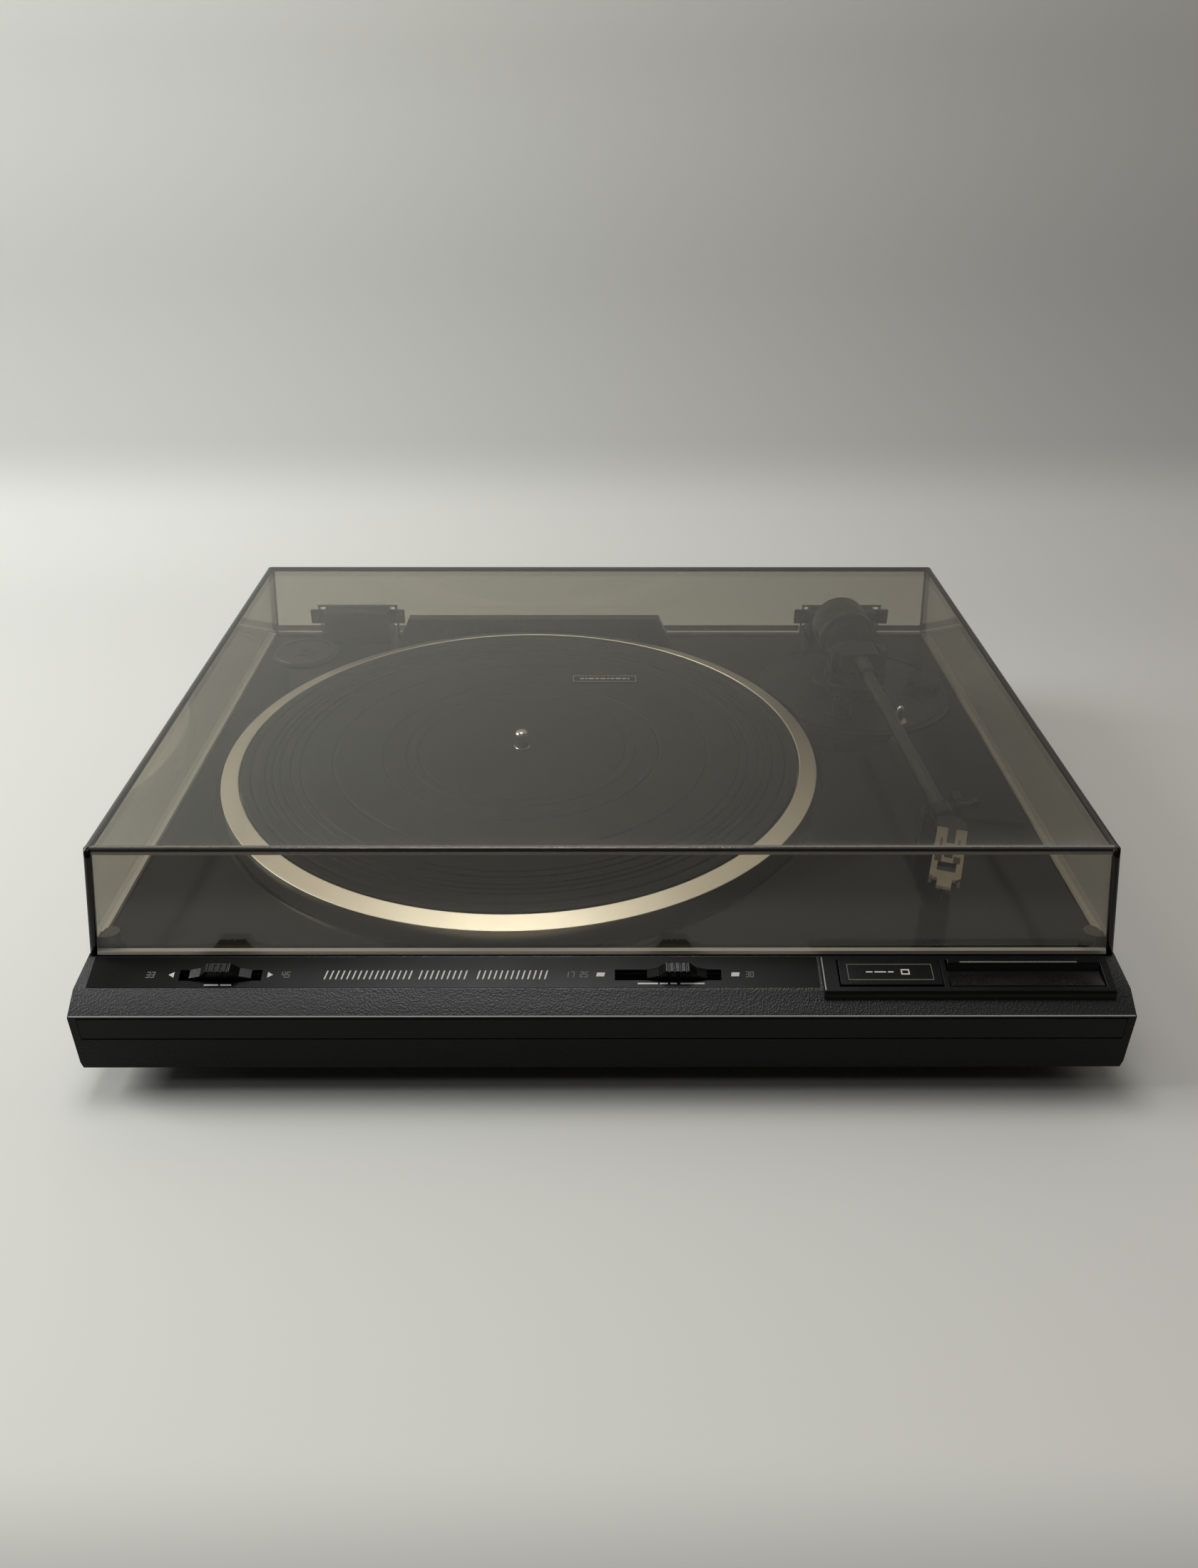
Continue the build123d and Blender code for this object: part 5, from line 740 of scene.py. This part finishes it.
def make_lid_edges(materials):
    """The cover's edges, painted as light and shade. Light runs along the sheet, so the folds where two walls
    meet look nearly black and get dark bars of painted shade, and the cut lower edge and the notches' edges
    shine pale with strips of painted glow."""
    # painted shade: dark bars along the top folds
    top = [lid_plan(LID_TOP - drop, inset) for drop,
           inset in ((0.04, 1.4), (0.2, 0.4), (1.3, -0.04), (2.9, -0.04),
                                                               (2.6, 2.4), (0.04, 3.0))]
    loop = len(top[0])
    corner = loop // 4
    # the outline starts at the front left corner and runs to the right
    runs = {"right": (corner + 2, 2 * corner + 3), "rear": (2 * corner + 2, 3 * corner + 3),
            "left": (3 * corner + 2, loop + 3)}
    for name, (first, last) in runs.items():
        pick = np.arange(first, last) % loop
        points, faces = open_tube([rail[pick] for rail in top])
        piece("cover_painted_fold_shade_" + name, points, faces, materials["painted_fold_shade"], "lid")
    # the front fold's painted sheen and glow show the sheet's thickness from above and through the front
    # wall, beside a dark line of painted shade
    across = np.linspace(-200.3, 200.3, 24)
    for name, material, ring in (
            ("sheen", "painted_fold_sheen", ((31.9, 98.6), (33.9, 98.6), (33.9, 98.3), (31.9, 98.3))),
            ("line", "painted_fold_shade", ((31.45, 98.6), (32.3, 98.6), (32.0, 97.25), (31.3, 97.25))),
            ("glow", "painted_fold_glow", ((31.42, 97.2), (31.7, 97.2), (31.5, 95.9), (31.2, 95.9)))):
        points, faces = open_tube([np.column_stack([across, np.full(24, y), np.full(24, z)]) for y,
                                   z in ring])
        piece("cover_front_" + name, points, faces, materials[material], "lid", smooth=False)
    # painted shade: dark bars down the four corners
    levels = np.linspace(LID_LOW + 0.1, LID_TOP - 0.6, 12)
    for number, (side, end) in enumerate(((-1, 0), (1, 0), (-1, 1), (1, 1))):
        rails = []
        for across, along in ((1.2, -0.04), (0.3, 0.3), (-0.04, 1.2), (-0.04, 2.9), (2.6, 2.9), (3.2, -0.04)):
            rise = (levels - LID_LOW) / (LID_TOP - LID_LOW)
            x = side * (LID_HALF - LID_SIDE_DRAFT * rise - across)
            if end == 0:
                y = LID_FRONT + LID_FRONT_DRAFT * rise + along
            else:
                y = LID_REAR - LID_REAR_DRAFT * rise - along
            rails.append(np.column_stack([x, y, levels]))
        points, faces = open_tube(rails)
        piece("cover_corner_fold_%d" % (number + 1), points, faces, materials["painted_fold_shade"], "lid")
    # the cut lower edge, in runs between the notches, as pale strips of painted glow
    gap = HINGE_X - NOTCH_HALF
    far = HINGE_X + NOTCH_HALF
    end = LID_HALF - CUT_END
    near_end, far_end = LID_FRONT + CUT_SIDE_END, 342.0
    runs = {"front": ((-end, LID_FRONT), (end, LID_FRONT)),
            "left": ((-LID_HALF, far_end), (-LID_HALF, near_end)),
            "right": ((LID_HALF, near_end), (LID_HALF, far_end)), "rear": ((gap, LID_REAR), (-gap, LID_REAR)),
            "rear_left": ((-far, LID_REAR), (-end, LID_REAR)),
            "rear_right": ((end, LID_REAR), (far, LID_REAR))}
    for name, ((x0, y0), (x1, y1)) in runs.items():
        share = np.linspace(0, 1, 12)
        x, y = x0 + (x1 - x0) * share, y0 + (y1 - y0) * share
        inward = np.array((y0 - y1, x1 - x0)) / math.hypot(x1 - x0, y1 - y0)
        rails = []
        for depth, z in ((0.02, 51.5), (0.27, 53.1), (2.3, 53.1), (2.58, 51.5)):
            rails.append(np.column_stack([x + inward[0] * depth, y + inward[1] * depth, np.full(12, z)]))
        points, faces = open_tube(rails)
        piece("cover_cut_edge_glow_" + name, points, faces, materials["painted_edge_glow"], "lid", smooth=False)
    # the notches' edges, as pale strips of painted glow
    for side in (-1, 1):
        centre = side * HINGE_X
        rim = [(centre - NOTCH_HALF, 51.6), (centre - NOTCH_HALF, NOTCH_TOP),
               (centre + NOTCH_HALF, NOTCH_TOP),
               (centre + NOTCH_HALF, 51.6)]
        rails = []
        for out, depth in ((0.05, 0.1), (1.5, 0.1), (1.5, 2.5), (0.05, 2.5)):
            path = []
            for corner, (x, z) in enumerate(rim):
                x += out * (-1 if corner < 2 else 1)
                z += out if corner in (1, 2) else 0
                path.append((x, LID_REAR - LID_REAR_DRAFT * (z - LID_LOW) / (LID_TOP - LID_LOW) - depth, z))
            rails.append(np.array(path))
        points, faces = open_tube(rails)
        name = "cover_notch_left" if side < 0 else "cover_notch_right"
        piece(name, points, faces, materials["painted_edge_glow"], "lid", smooth=False)


SWEEP_NEAR = -2.5        # metres in front of the object
SWEEP_BEND = 0.42        # where the floor starts to curve up
SWEEP_RADIUS = 0.38
SWEEP_TOP = 0.74
SWEEP_HALF = 2.6
PAPER = 0.74             # overall tone of the paper


def make_stage():
    """Paper sweep: flat floor, a quarter circle behind the object, and a low wall, as one grid."""
    turn = np.linspace(0, math.pi / 2, 24)
    floor = np.stack([np.linspace(SWEEP_NEAR, SWEEP_BEND, 24)[:-1], np.zeros(23)], axis=-1)
    curve = np.stack([SWEEP_BEND + SWEEP_RADIUS * np.sin(turn), SWEEP_RADIUS * (1 - np.cos(turn))], axis=-1)
    wall = [[SWEEP_BEND + SWEEP_RADIUS, SWEEP_TOP]]
    path = np.concatenate([floor, curve, wall])
    across = np.linspace(-SWEEP_HALF, SWEEP_HALF, 9)
    points = np.stack([np.tile(across, len(path)), np.repeat(path[:, 0], 9), np.repeat(path[:, 1], 9)],
                      axis=-1)
    row, column = np.meshgrid(np.arange(len(path) - 1), np.arange(8), indexing="ij")
    start = row * 9 + column
    faces = np.stack([start, start + 1, start + 10, start + 9], axis=-1).reshape(-1, 4).tolist()
    mesh = bpy.data.meshes.new("sweep")
    mesh.from_pydata(points.tolist(), [], faces)
    mesh.polygons.foreach_set("use_smooth", np.ones(len(mesh.polygons), bool))
    mesh.materials.append(paper_sweep())
    sweep = bpy.data.objects.new("sweep", mesh)
    bpy.context.scene.collection.objects.link(sweep)


def make_lamp(name, spot, aim, size, power, tint="#ffffff"):
    """Square soft lamp at spot, turned towards aim."""
    data = bpy.data.lights.new(name, "AREA")
    data.shape = "RECTANGLE"
    data.size, data.size_y = size
    data.energy = power
    data.color = colour(tint)[:3]
    lamp = bpy.data.objects.new(name, data)
    bpy.context.scene.collection.objects.link(lamp)
    way = Vector(aim) - Vector(spot)
    lamp.matrix_world = Matrix.Translation(spot) @ way.to_track_quat("-Z", "Y").to_matrix().to_4x4()


def make_light():
    """Soft light from the left and from overhead, and a room that is bright only above the sweep."""
    make_lamp("window_left", (-1.7, 0.05, 1.15), (0, 0, 0.05), (1.0, 0.9), 31.0, "#fbfdff")
    make_lamp("overhead", (-0.15, 0.2, 1.75), (0, 0, 0), (0.7, 0.7), 15.0)
    make_lamp("near", (-0.1, -0.9, 1.5), (-0.05, -0.1, 0.05), (0.5, 0.3), 1.2)
    world = bpy.data.worlds.new("room")
    world.use_nodes = True
    tree = world.node_tree
    tree.nodes.clear()
    way = add(tree, "ShaderNodeTexCoord").outputs["Generated"]
    parts = add(tree, "ShaderNodeSeparateXYZ", {"Vector": way})
    high = add(tree, "ShaderNodeMapRange", {"Value": parts.outputs["Z"]},
               {"From Min": 0.35, "From Max": 0.55}, interpolation_type="SMOOTHSTEP").outputs[0]
    behind = add(tree, "ShaderNodeMapRange", {"Value": parts.outputs["Y"]},
                 {"From Min": -0.1, "From Max": 0.4}, interpolation_type="SMOOTHSTEP").outputs[0]
    ceiling = add(tree, "ShaderNodeMapRange", {"Value": parts.outputs["Z"]},
                  {"From Min": 0.72, "From Max": 0.9, "To Min": 1.0, "To Max": 0.1},
                  interpolation_type="SMOOTHSTEP").outputs[0]
    glow = add(tree, "ShaderNodeMath", {0: high, 1: behind}, operation="MULTIPLY").outputs[0]
    glow = add(tree, "ShaderNodeMath", {0: glow, 1: ceiling}, operation="MULTIPLY").outputs[0]
    level = add(tree, "ShaderNodeMapRange", {"Value": glow}, {"To Min": 0.015, "To Max": 1.05}).outputs[0]
    light = add(tree, "ShaderNodeBackground", {"Strength": level}, {"Color": colour("#fffaf2")}).outputs[0]
    add(tree, "ShaderNodeOutputWorld", {"Surface": light})
    bpy.context.scene.world = world


bpy.context.scene.view_settings.view_transform = "Standard"
make_camera()
make_stage()
make_light()
MATERIALS = make_materials()
SLOTS = dress(MATERIALS)
for softened, edge in (("plinth_shell", 0.35), ("key_housing", 0.3), ("stop_key", 0.3), ("lift_key", 0.3),
                       ("speed_slider", 0.2), ("size_slider", 0.2), ("rear_cover", 0.5), ("arm_rest", 0.4)):
    soften(softened, edge, MATERIALS[SLOTS[softened]], SLOTS[softened])
make_platter(MATERIALS)
make_mat(MATERIALS)
make_legends(MATERIALS)
make_key_marks(MATERIALS)
make_plaque_print(MATERIALS)
make_strip_lines(MATERIALS)
make_ledge_line(MATERIALS)
make_shell_marks(MATERIALS)
make_lid_edges(MATERIALS)
